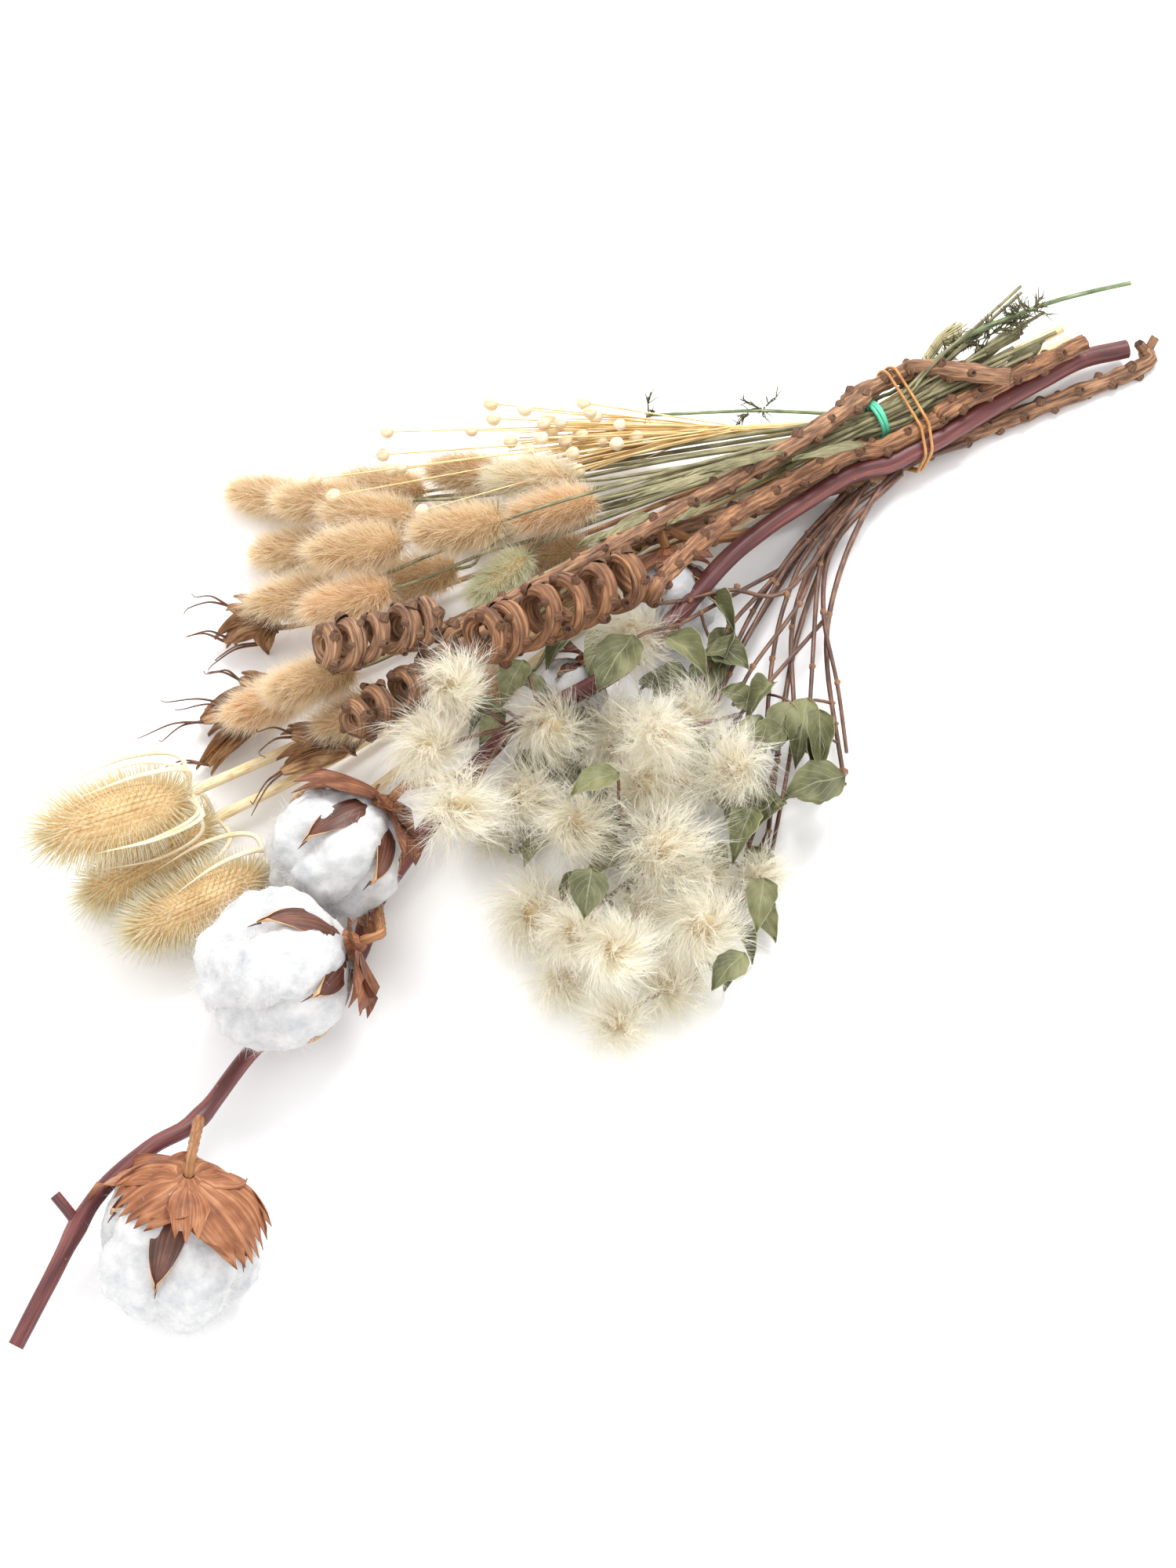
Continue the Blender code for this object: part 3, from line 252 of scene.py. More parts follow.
def add_rods(heap, path, radius):
    heap += [(a, b, radius) for a, b in zip(path, path[1:])]


def taper(path, start, end):
    """A radius for each point of a path, from start to end, in metres."""
    return [(start + (end - start) * i / (len(path) - 1)) * MM for i in range(len(path))]


def clear_of(heap, start, end, radius):
    for step in range(7):
        point = start.lerp(end, step / 6)
        for rod in heap:
            if (point - nearest_on(rod, point)).length < rod[2] + radius + 2 * GAP:
                return False
    return True


def lay(heap, tip_pixel, base_pixel, radius, length=None, inset=0.0, tilt=0.0):
    """Lay a head on the heap and add it; gives its tip and base.

    Its rounded ends reach inset past the straight stretch that is kept clear, and tilt lifts its
    base above its tip.
    """
    height = radius - 0.8
    while True:
        tip, base = spot(*tip_pixel, height), spot(*base_pixel, height + tilt)
        axis = (base - tip).normalized()
        if length:
            base = tip + axis * length * MM
        rod = (tip + axis * inset * MM, base - axis * inset * MM, radius * MM)
        if clear_of(heap, *rod):
            heap.append(rod)
            return tip, base
        height += 0.5


def turned(base, tip):
    """The matrix that takes +X to the way from base to tip, from their middle."""
    turn = (tip - base).to_track_quat("X", "Z").to_matrix().to_4x4()
    return Matrix.Translation((base + tip) / 2) @ turn


def rise(height):
    """A step straight up, in millimetres."""
    return Vector((0, 0, height)) * MM


def scatter(draw, *spans):
    """A vector with each of its parts drawn from its own span."""
    return Vector([draw.uniform(*span) for span in spans])


def as_arrays(place):
    """A matrix's turn and its place."""
    return np.array(place.to_3x3()), np.array(place.translation)


COTTON_PATH = [
    (1437, 445, 10), (1380, 458, 12), (1330, 483, 15), (1253, 526, 18),
    (1083, 606, 25), (1019, 645, 29), (971, 677, 32), (923, 718, 34), (850, 800, 36),
    (780, 860, 35), (664, 923, 31), (600, 985, 27), (550, 1050, 21), (480, 1149, 12),
    (456, 1220, 7), (410, 1288, 7), (330, 1332, 14), (254, 1426, 30), (190, 1465, 34),
    (120, 1530, 33), (60, 1640, 24), (20, 1717, 16),
]
TIE_POINT_IN_COTTON = 4

# Centre pixel and height, size against BOLL_SCALE, the way its stalk leaves it (right, up, near),
# and the stalk's pixels
BOLLS = [
    ((228, 1592, 32), 1.0, (0.15, 0.80, 0.50), [(254, 1426, 30)]),
    ((352, 1238, 48), 1.0, (0.86, 0.30, 0.05), [(480, 1149, 12)]),
    ((428, 1086, 46), 0.86, (0.66, 0.62, 0.15), [(530, 1000, 34), (600, 985, 27)]),
    ((856, 768, 20), 0.61, (-0.10, 0.90, 0.25), [(890, 690, 32), (971, 677, 32)]),
    ((728, 884, 15), 0.46, (0.50, 0.75, 0.10), [(780, 820, 30), (830, 819, 36)]),
]
LOCKS = 5
BUR_OFFSET = 1.3
HUB_DEPTH = 5.2
BRACT_OFFSET = 3.1


def cotton_axis():
    """The branch's middle line, through its slot in the tie."""
    points = spots(COTTON_PATH[:TIE_POINT_IN_COTTON])
    points += list(reversed(through_tie("cotton")))
    points += spots(COTTON_PATH[TIE_POINT_IN_COTTON:])
    return points


def boll_frame(centre, way):
    """A boll's own frame: +X from its centre to its open end."""
    stalk = (RIGHT * way[0] + UP * way[1] - FORWARD * way[2]).normalized()
    return Matrix.Translation(centre) @ (-stalk).to_track_quat("X", "Z").to_matrix().to_4x4(), stalk


TEASELS = {
    2: ((106, 1150), (278, 1040), 0.95, [(350, 1015), (480, 940), (640, 840), (830, 700)]),
    3: ((160, 1196), (308, 1128), 0.92, [(400, 1070), (500, 990), (680, 845), (850, 712)]),
    1: ((45, 1072), (232, 1016), 1.06, [(300, 985), (420, 935), (560, 865), (760, 735), (850, 680)]),
}
TEASEL_STEM = 2.5
TEASEL_BRACTS = 5

# Tip and base pixels, from the lowest heads to the topmost; the last number is a size
TAILS = [
    ((288, 914), (400, 872), 1.0), ((401, 930), (508, 900), 1.0), ((560, 905), (668, 862), 0.9),
    ((291, 627), (402, 638), 0.95), ((322, 706), (430, 700), 1.0), ((318, 772), (430, 748), 1.0),
    ((340, 884), (452, 852), 1.0), ((352, 640), (462, 638), 1.0), ((430, 620), (548, 626), 1.0),
    ((470, 745), (585, 725), 1.0), ((545, 600), (660, 608), 0.9), ((640, 722), (748, 700), 1.0),
    ((550, 664), (655, 668), 1.0), ((414, 652), (526, 659), 1.0), ((393, 706), (512, 692), 1.05),
    ((621, 611), (738, 612), 1.0), ((526, 680), (645, 662), 1.0), ((648, 662), (762, 638), 1.0),
    ((387, 780), (510, 748), 1.0), ((601, 764), (675, 706), 0.85),
]
GREEN_TAILS = {16, 20}

# Front and back pixels of the coil, its radius and turns, the stem's places to the tie and past it,
# and the stem's radius
COILS = [
    ((402, 832), (568, 786), 12.5, 5.0,
     [(700, 745, 54), (800, 700, 54), (891, 636, 50), (977, 594, 47), (1054, 549, 44), (1100, 508, 38)],
     [(1202, 474, 38), (1253, 478, 40), (1289, 481, 40)], 4.3),
    ((602, 822), (822, 730), 15.0, 6.0,
     [(866, 696, 50), (949, 648, 44), (1006, 616, 40), (1063, 590, 34)],
     [(1227, 512, 29), (1304, 478, 28), (1383, 437, 26)], 4.2),
    ((442, 927), (552, 858), 11.5, 3.5,
     [(650, 800, 34), (760, 745, 26), (900, 680, 20), (1030, 620, 15)],
     [(1268, 549, 6), (1381, 493, 5), (1462, 450, 4)], 4.0),
]
STRAND = 3.6
POINTS_PER_TURN = 6

# For each stalk: its places from the pods to the tie, and its pods as (base, tip, horn's end)
PODS = [
    ([(345, 800, 12), (460, 790, 8), (700, 700, 8)], [
        ((345, 800, 12), (296, 774, 18), (240, 776, 24)),
        ((345, 800, 12), (286, 818, 10), (238, 812, 16)),
        ((345, 800, 12), (330, 822, 5), (270, 849, 8)),
    ]),
    ([(352, 900, 10), (470, 850, 8), (720, 720, 8)], [
        ((352, 900, 10), (307, 868, 16), (262, 860, 22)),
        ((352, 900, 10), (258, 920, 8), (206, 946, 12)),
        ((352, 900, 10), (262, 975, 5), (212, 978, 9)),
        ((352, 900, 10), (300, 905, 20), (232, 905, 30)),
    ]),
    ([(440, 960, 20), (560, 880, 12), (760, 740, 8)], [
        ((440, 960, 20), (358, 984, 25), (322, 1026, 30)),
        ((440, 960, 20), (372, 940, 30), (330, 960, 38)),
    ]),
]
POD_STEM = 1.4
POD_ROOM = 4.2
CAPSULES = [
    (627, 515), (670, 522), (630, 534), (602, 549), (745, 514), (753, 526), (705, 548), (716, 539),
    (743, 555), (691, 559), (494, 551), (489, 580), (513, 596), (791, 542), (787, 566), (731, 578),
]
STRAW_ENDS = [(648, 575), (690, 600), (760, 560)]
FLAX_NECK = (940, 552, 24)

# Each stem: its places from the tie; its twigs, as (places, heads with their sizes); its leaves
VINES = [
    ([(1100, 618, 13), (1057, 686, 16), (1028, 780, 16), (1043, 880, 14), (1075, 985, 8)],
     [([(1028, 780, 16), (985, 850, 16), (950, 905, 16)],
       [(872, 996, 0.9, 0), (936, 973, 1.0, 1), (843, 935, 0.95, 1)])],
     [((1030, 890), (1015, 975), 10), ((1045, 905), (1046, 985), 9), ((1078, 990), (1000, 1015), 11)]),
    ([(1085, 622, 4), (1040, 693, 6), (1003, 770, 9), (1000, 900, 9), (985, 1010, 8), (972, 1130, 6)],
     [([(990, 970, 8), (965, 1040, 8), (945, 1110, 9)], [(971, 1117, 0.65, 0), (897, 1181, 1.1, 1)]),
      ([(980, 1060, 7), (930, 1180, 6), (890, 1235, 7)], [(856, 1254, 0.95, 0), (786, 1299, 0.9, 0)])],
     [((965, 985), (925, 1045), 10), ((960, 1030), (935, 1095), 10), ((975, 1120), (965, 1185), 9),
      ((950, 1215), (908, 1262), 8), ((1000, 930), (962, 962), 9)]),
    ([(1072, 625, 4), (1018, 690, 8), (975, 760, 12), (925, 850, 14), (880, 950, 12), (840, 1060, 9),
      (800, 1150, 7)],
     [([(1010, 700, 17), (960, 745, 40), (900, 778, 45), (860, 800, 48)], [(806, 810, 1.0, 1)]),
      ([(925, 850, 16), (860, 900, 18), (790, 935, 20)], [(789, 957, 1.05, 1), (702, 930, 1.0, 1)]),
      ([(830, 918, 19), (740, 940, 32), (660, 925, 42)],
       [(578, 870, 0.8, 0), (545, 955, 1.0, 0), (588, 1030, 1.1, 1)]),
      ([(880, 950, 12), (810, 1000, 10), (750, 1035, 9)],
       [(636, 1066, 0.7, 0), (671, 1015, 0.95, 1), (738, 1052, 1.0, 1)]),
      ([(855, 1020, 10), (835, 1050, 10)], [(824, 1000, 0.95, 0), (850, 1079, 1.2, 1)]),
      ([(820, 1110, 8), (770, 1150, 8)],
       [(722, 1252, 0.85, 0), (735, 1190, 0.9, 0), (684, 1165, 1.2, 1)]),
      ([(800, 1150, 7), (800, 1175, 8)], [(826, 1165, 1.0, 0), (786, 1212, 0.95, 0)])],
     [((808, 810), (762, 880), 12), ((668, 842), (640, 897), 9), ((640, 900), (598, 930), 8),
      ((755, 1108), (745, 1170), 10), ((790, 985), (728, 1012), 9), ((850, 812), (902, 855), 11),
      ((915, 832), (885, 905), 10), ((905, 822), (955, 850), 10), ((815, 868), (882, 898), 11)]),
]
TWIG = 1.2
LEAF_LOWEST = 20.0


def leaf_rods(base, tip, half_width):
    """The room that a leaf takes: its middle and both sides."""
    side = (tip - base).cross(Vector((0, 0, 1))).normalized() * half_width * 0.7 * MM
    return [(base + side * k, tip + side * k, 3.6 * MM) for k in (-1, 0, 1)]


def lay_leaf(heap, base_pixel, tip_pixel, half_width):
    """Lay a leaf flat on the heap, its middle and both sides clear."""
    height = LEAF_LOWEST
    while True:
        base, tip = spot(*base_pixel, height), spot(*tip_pixel, height)
        rods = leaf_rods(base, tip, half_width)
        if all(clear_of(heap, *rod) for rod in rods):
            heap += rods
            return base, tip
        height += 1.0


def lay_heads(twigs, heap):
    """Lay the seed heads, the lower ones first; gives each twig's heads as (middle, radius)."""
    laid = {}
    for layer in (0, 1):
        for key, heads in twigs.items():
            for u, v, size, level in heads:
                if level == layer:
                    middle, _ = lay(heap, (u, v), (u, v), SILK_RADIUS * size)
                    laid.setdefault(key, []).append((middle, SILK_RADIUS * size * MM))
    return laid


def hull(points):
    """The outline round a set of (across, height) points."""
    points = sorted(set(points))
    outline = []
    for order in (points, points[::-1]):
        side = []
        for x, y in order:
            while len(side) > 1:
                (ax, ay), (bx, by) = side[-2:]
                if (bx - ax) * (y - ay) - (by - ay) * (x - ax) > 0:
                    break
                side.pop()
            side.append((x, y))
        outline += side[:-1]
    return outline


# Forms in mesh code

# How far loose hairs and thin ends may pass the solids' box
ROOM_ROUND = np.array([26.0, 18.0, 11.0]) * MM


def spaced(path):
    """A path as an array of points."""
    return np.array([tuple(point) for point in path], float)


def unit(vectors):
    length = np.linalg.norm(vectors, axis=-1, keepdims=True)
    return vectors / np.maximum(length, 1e-9)


class Form:
    """A mesh that grows by pieces, each with its faces, its (u, v) places and its skin."""

    def __init__(self):
        self.points = []
        self.corners = []
        self.sizes = []
        self.places = []
        self.skins = []
        self.count = 0

    def add(self, points, faces, places, skin=0):
        """Faces is an array of corner numbers; places holds (u, v) for every corner."""
        self.points.append(points)
        self.corners.append((faces + self.count).ravel())
        self.sizes.append(np.full(len(faces), faces.shape[1]))
        self.places.append(places.reshape(-1, 2))
        self.skins.append(np.full(len(faces), skin))
        self.count += len(points)

    def build(self, name, skins, nodes=(), smooth=True, above=0.1 * MM):
        """Make the piece: it stands for the nodes, rides on the bunch and stays above the surface."""
        points = np.concatenate(self.points)
        points = np.clip(points, np.array(CAD_BOX[0]) - ROOM_ROUND, np.array(CAD_BOX[1]) + ROOM_ROUND)
        points[:, 2] = np.maximum(points[:, 2], above)
        sizes = np.concatenate(self.sizes)
        mesh = bpy.data.meshes.new(name)
        mesh.vertices.add(len(points))
        mesh.vertices.foreach_set("co", points.astype(np.float32).ravel())
        corners = np.concatenate(self.corners).astype(np.int32)
        mesh.loops.add(len(corners))
        mesh.loops.foreach_set("vertex_index", corners)
        mesh.polygons.add(len(sizes))
        starts = np.concatenate([[0], np.cumsum(sizes)[:-1]]).astype(np.int32)
        mesh.polygons.foreach_set("loop_start", starts)
        mesh.polygons.foreach_set("material_index", np.concatenate(self.skins).astype(np.int32))
        mesh.polygons.foreach_set("use_smooth", np.full(len(sizes), smooth))
        layer = mesh.uv_layers.new(name="places")
        layer.data.foreach_set("uv", np.concatenate(self.places).astype(np.float32).ravel())
        mesh.update(calc_edges=True)
        mesh.validate()
        for skin in skins:
            mesh.materials.append(made_skin(skin))
        piece = bpy.data.objects.new(name, mesh)
        bpy.context.scene.collection.objects.link(piece)
        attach(piece, "root")
        if nodes:
            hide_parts(*nodes)
        return piece


def grid_faces(rows, cols):
    """Corner numbers and (row, col) places of a grid of rows x cols points."""
    row, col = np.meshgrid(np.arange(rows - 1), np.arange(cols - 1), indexing="ij")
    row, col = row.ravel(), col.ravel()
    first = row * cols + col
    faces = np.stack([first, first + 1, first + cols + 1, first + cols], 1)
    return faces, np.stack([faces // cols, faces % cols], 2)


def ring_faces(rows, sides):
    """Corner numbers of a closed tube of rings, and their (row, col) places with the seam open."""
    faces, cells = grid_faces(rows, sides + 1)
    return (faces // (sides + 1)) * sides + (faces % (sides + 1)) % sides, cells


def frames(points, rays=()):
    """Two side directions at each point: along the rays where there are any, then with least turning."""
    ways = unit(np.gradient(points, axis=0))
    side = np.cross(ways[0], (0.13, 0.21, 0.97))
    sides = []
    for number, way in enumerate(ways):
        side = rays[number] if number < len(rays) else side
        side = side - way * side.dot(way)
        side = side / max(np.linalg.norm(side), 1e-9)
        sides.append(side)
    sides = np.array(sides)
    return sides, np.cross(ways, sides)


def soften(path, times=3):
    """Even out small kinks, with both ends kept."""
    points = spaced(path)
    for _ in range(times):
        points[1:-1] = points[1:-1] * 0.5 + (points[:-2] + points[2:]) * 0.25
    return [Vector(point) for point in points]


def add_tube(form, path, radii, sides=8, relief=None, skin=0, end_skin=None, caps=True, rays=()):
    """A rod along a path; relief(angle, run) scales its radius, and run is in centimetres."""
    points = spaced(path)
    radii = np.broadcast_to(np.asarray(radii, float), (len(points),))
    side, other = frames(points, rays)
    run = np.concatenate([[0], np.cumsum(np.linalg.norm(np.diff(points, axis=0), axis=1))]) / 0.01
    angle = np.linspace(0, 2 * math.pi, sides + 1)
    scale = relief(angle[None, :], run[:, None]) if relief else np.ones((1, sides + 1))
    reach = radii[:, None] * scale
    reach[:, -1] = reach[:, 0]
    ring = side[:, None] * np.cos(angle)[None, :, None] + other[:, None] * np.sin(angle)[None, :, None]
    skin_points = points[:, None] + ring * reach[..., None]
    faces, cells = ring_faces(len(points), sides)
    places = np.stack([cells[..., 1] / sides, run[cells[..., 0]]], 2)
    form.add(skin_points[:, :-1].reshape(-1, 3), faces[:, ::-1], places[:, ::-1], skin)
    if not caps:
        return
    for index, turn in ((0, 1), (len(points) - 1, -1)):
        ring_points = np.vstack([skin_points[index, :-1], points[index]])
        numbers = np.arange(sides)
        fan = np.stack([numbers, np.roll(numbers, -1), np.full(sides, sides)], 1)[:, ::turn]
        flat = np.zeros((sides, 3, 2))
        flat[..., 0] = numbers[:, None] / sides
        flat[..., 1] = run[index]
        form.add(ring_points, fan, flat, skin if end_skin is None else end_skin)


def add_lathe(form, base, way, profile, sides=10, skin=0):
    """A turned knob on a surface: profile is a list of (height, radius) in millimetres."""
    way = Vector(way).normalized()
    path = [Vector(base) + way * height * MM for height, _ in profile]
    path = [point + way * 1e-6 * number for number, point in enumerate(path)]
    points = spaced(path)
    turn = way.to_track_quat("Z", "Y").to_matrix()
    angle = np.linspace(0, 2 * math.pi, sides, endpoint=False)
    flat = np.stack([np.cos(angle), np.sin(angle), np.zeros(sides)], 1) @ np.array(turn).T
    radii = np.array([radius for _, radius in profile]) * MM
    ring = points[:, None] + flat[None] * radii[:, None, None]
    faces, cells = ring_faces(len(profile), sides)
    places = np.stack([cells[..., 1] / sides, cells[..., 0] / (len(profile) - 1)], 2)
    form.add(ring.reshape(-1, 3), faces, places, skin)


def add_strands(form, draw, roots, ways, lengths, bends, width, cuts=2, skin=0, span=(0, 1)):
    """Thin hairs: each leaves its root along its way and turns aside by its bend."""
    count = len(roots)
    lengths = np.broadcast_to(np.asarray(lengths, float), (count,))[:, None]
    start, stop = (np.broadcast_to(np.asarray(part, float), (count,)) for part in span)
    side = unit(np.cross(ways, draw.normal(size=(count, 3))))
    tint = draw.random(count)
    points = []
    for cut in range(cuts + 1):
        part = cut / cuts
        middle = roots + ways * lengths * part + bends * lengths * part ** 2
        if cut == cuts:
            points.append(middle)
        else:
            half = side * width * 0.5 * (1 - 0.55 * part)
            points += [middle - half, middle + half]
    rows = 2 * cuts + 1
    grown = np.stack(points, 1).reshape(-1, 3)
    corners, parts = [], []
    for cut in range(cuts):
        low, high = cut / cuts, (cut + 1) / cuts
        if cut < cuts - 1:
            corners += [(2 * cut, 2 * cut + 1, 2 * cut + 3), (2 * cut, 2 * cut + 3, 2 * cut + 2)]
            parts += [(low, low, high), (low, high, high)]
        else:
            corners.append((2 * cut, 2 * cut + 1, 2 * cut + 2))
            parts.append((low, low, high))
    corners, parts = np.array(corners), np.array(parts)
    faces = (np.arange(count)[:, None, None] * rows + corners[None]).reshape(-1, 3)
    along = start[:, None, None] + (stop - start)[:, None, None] * parts[None]
    across = np.broadcast_to(tint[:, None, None], along.shape)
    form.add(grown, faces, np.stack([across, along], 3).reshape(-1, 3, 2), skin)


def add_sheet(form, shape, rows, cols, thick, skin=0, back_skin=None):
    """A thin leaf; shape(along, across) gives arrays of points, with across from -1 to 1."""
    along, across = np.meshgrid(np.linspace(0, 1, rows), np.linspace(-1, 1, cols), indexing="ij")
    front = shape(along, across)
    normal = unit(np.cross(np.gradient(front, axis=1), np.gradient(front, axis=0)))
    faces, cells = grid_faces(rows, cols)
    places = np.stack([cells[..., 1] / (cols - 1), cells[..., 0] / (rows - 1)], 2)
    back_skin = skin if back_skin is None else back_skin
    upper, lower = ((front + normal * share).reshape(-1, 3) for share in (thick / 2, -thick / 2))
    form.add(upper, faces, places, skin)
    form.add(lower, faces[:, ::-1], places[:, ::-1], back_skin)
    rim = list(range(cols)) + [cols * (row + 1) - 1 for row in range(1, rows)]
    rim += [cols * (rows - 1) + col for col in range(cols - 2, -1, -1)]
    rim += [cols * row for row in range(rows - 2, 0, -1)]
    rim = np.array(rim)
    edge = np.vstack([upper[rim], lower[rim]])
    size = len(rim)
    one, two = np.arange(size), np.roll(np.arange(size), -1)
    sides = np.stack([one, two, two + size, one + size], 1)
    at = np.stack([rim % cols / (cols - 1), rim // cols / (rows - 1)], 1)
    form.add(edge, sides, at[np.stack([one, two, two, one], 1)], back_skin)


def add_ball(form, cuts, reach, skin=0):
    """A closed ball of fine faces; reach(directions) gives the points."""
    bm = bmesh.new()
    bmesh.ops.create_icosphere(bm, subdivisions=cuts, radius=1.0)
    ways = np.array([tuple(vert.co) for vert in bm.verts])
    faces = np.array([[vert.index for vert in face.verts] for face in bm.faces])
    bm.free()
    ways = unit(ways)
    points = reach(ways)
    around = np.arctan2(ways[:, 2], ways[:, 1]) / (2 * math.pi) + 0.5
    places = np.stack([around, (ways[:, 0] + 1) / 2], 1)[faces]
    form.add(points, faces, places, skin)
    return ways, points


def sunflower(count):
    """Directions spread evenly over a ball."""
    number = np.arange(count) + 0.5
    z = 1 - 2 * number / count
    angle = number * GOLDEN_ANGLE
    side = np.sqrt(1 - z * z)
    return np.stack([z, side * np.cos(angle), side * np.sin(angle)], 1)


def clouds(points, size, seed):
    """Smooth noise from -1 to 1 at each point, with lumps of that size."""
    offset = Vector((seed * 7.1, seed * 3.3, seed * 5.7))
    return np.array([noise.noise(Vector(point) / size + offset) for point in points])


# Skins

WHITE = (1, 1, 1, 1)


def paint(red, green, blue):
    """A colour with parts from 0 to 255, in linear light."""
    return (*(((part / 255 + 0.055) / 1.055) ** 2.4 for part in (red, green, blue)), 1)


class Skin:
    """A material that is built from nodes."""

    def __init__(self, name, **values):
        self.material = bpy.data.materials.new(name)
        self.material.use_nodes = True
        self.tree = self.material.node_tree
        self.shader = self.tree.nodes["Principled BSDF"]
        self.out = self.tree.nodes["Material Output"]
        for key, value in values.items():
            self.shader.inputs[key.replace("_", " ")].default_value = value
        where = self.node("ShaderNodeUVMap", {}, uv_map="places")
        split = self.tree.nodes.new("ShaderNodeSeparateXYZ")
        self.tree.links.new(where, split.inputs[0])
        self.u, self.v = split.outputs[0], split.outputs[1]
        self.here = self.tree.nodes.new("ShaderNodeTexCoord").outputs["Object"]

    def node(self, kind, inputs, **settings):
        made = self.tree.nodes.new(kind)
        for key, value in settings.items():
            setattr(made, key, value)
        for key, value in inputs.items():
            if isinstance(value, bpy.types.NodeSocket):
                self.tree.links.new(value, made.inputs[key])
            else:
                made.inputs[key].default_value = value
        return made.outputs[0]

    def maths(self, way, one, two=0.0):
        return self.node("ShaderNodeMath", {0: one, 1: two}, operation=way)

    def times(self, one, two):
        return self.maths("MULTIPLY", one, two)

    def both(self, one, two, share):
        """Two heights, weighed by the first one's share."""
        return self.maths("ADD", self.times(one, share), self.times(two, 1 - share))

    def cloud(self, where, scale, detail=3.0, rough=0.55):
        inputs = {"Vector": where, "Scale": scale, "Detail": detail, "Roughness": rough}
        return self.node("ShaderNodeTexNoise", inputs)

    def rod(self, stretch):
        """Places on a rod without a seam, drawn out along it."""
        turn = self.times(self.u, 2 * math.pi)
        ring = self.maths("COSINE", turn), self.maths("SINE", turn)
        inputs = {0: ring[0], 1: ring[1], 2: self.times(self.v, stretch)}
        return self.node("ShaderNodeCombineXYZ", inputs)

    def ramp(self, part, stops):
        made = self.tree.nodes.new("ShaderNodeValToRGB")
        self.tree.links.new(part, made.inputs[0])
        marks = made.color_ramp.elements
        while len(marks) < len(stops):
            marks.new(0.5)
        for mark, (place, colour) in zip(marks, stops):
            mark.position = place
            mark.color = colour
        return made.outputs[0]

    def mix(self, part, one, two, way="MIX"):
        made = self.tree.nodes.new("ShaderNodeMix")
        made.data_type = "RGBA"
        made.blend_type = way
        for socket, value in ((made.inputs[0], part), (made.inputs[6], one), (made.inputs[7], two)):
            if isinstance(value, bpy.types.NodeSocket):
                self.tree.links.new(value, socket)
            else:
                socket.default_value = value
        return made.outputs[2]

    def colour(self, socket):
        self.tree.links.new(socket, self.shader.inputs["Base Color"])

    def bump(self, height, strength, depth):
        made = self.node("ShaderNodeBump", {"Height": height, "Strength": strength, "Distance": depth})
        self.tree.links.new(made, self.shader.inputs["Normal"])

    def glow_through(self, socket, share):
        """Lets some light through a thin hair or leaf."""
        thin = self.node("ShaderNodeBsdfTranslucent", {"Color": socket})
        both = self.node("ShaderNodeMixShader", {0: share, 1: self.shader.outputs[0], 2: thin})
        self.tree.links.new(both, self.out.inputs[0])


def hair_skin(name, root, middle, tip, spread, through=0.35, rough=0.8):
    """Hair that pales from root to tip, with its own tint on each hair."""
    skin = Skin(name, Roughness=rough, Sheen_Weight=0.15)
    along = skin.ramp(skin.v, [(0.0, paint(*root)), (0.45, paint(*middle)), (1.0, paint(*tip))])
    shade = skin.ramp(skin.u, [(0.0, (spread, spread * 0.98, spread * 0.94, 1)), (1.0, WHITE)])
    patch = skin.ramp(skin.cloud(skin.here, 55.0), [(0.35, (0.93, 0.92, 0.90, 1)), (0.65, WHITE)])
    tone = skin.mix(1.0, skin.mix(1.0, along, shade, "MULTIPLY"), patch, "MULTIPLY")
    skin.colour(tone)
    skin.glow_through(tone, through)
    return skin.material


def bark_skin(name, dark, middle, light, stretch=0.35, scale=2.6, rough=0.7, depth=0.5):
    """Bark with grooves along the stem, dark in the cracks and pale on the ridges."""
    skin = Skin(name, Roughness=rough)
    grain = skin.cloud(skin.rod(stretch), scale, 5.0, 0.62)
    fine = skin.cloud(skin.rod(stretch * 0.5), scale * 3.3, 3.0)
    height = skin.both(grain, fine, 0.7)
    tone = skin.ramp(height, [(0.36, paint(*dark)), (0.5, paint(*middle)), (0.66, paint(*light))])
    blotch = skin.ramp(skin.cloud(skin.here, 40.0), [(0.35, (0.8, 0.76, 0.74, 1)), (0.65, WHITE)])
    skin.colour(skin.mix(1.0, tone, blotch, "MULTIPLY"))
    skin.bump(height, depth, 0.6 * MM)
    return skin.material


def fibre_skin(name, dark, middle, light, grain=14.0, rough=0.65, through=0.0, depth=0.4):
    """A dry stalk or husk with fine lines along it."""
    skin = Skin(name, Roughness=rough)
    turn = skin.node("ShaderNodeCombineXYZ", {0: skin.times(skin.u, grain), 1: skin.times(skin.v, 0.5)})
    line = skin.cloud(turn, 2.2, 3.0)
    patch = skin.cloud(skin.here, 70.0, 3.0)
    height = skin.both(line, patch, 0.6)
    tone = skin.ramp(height, [(0.35, paint(*dark)), (0.5, paint(*middle)), (0.65, paint(*light))])
    skin.colour(tone)
    skin.bump(line, depth, 0.4 * MM)
    if through:
        skin.glow_through(tone, through)
    return skin.material


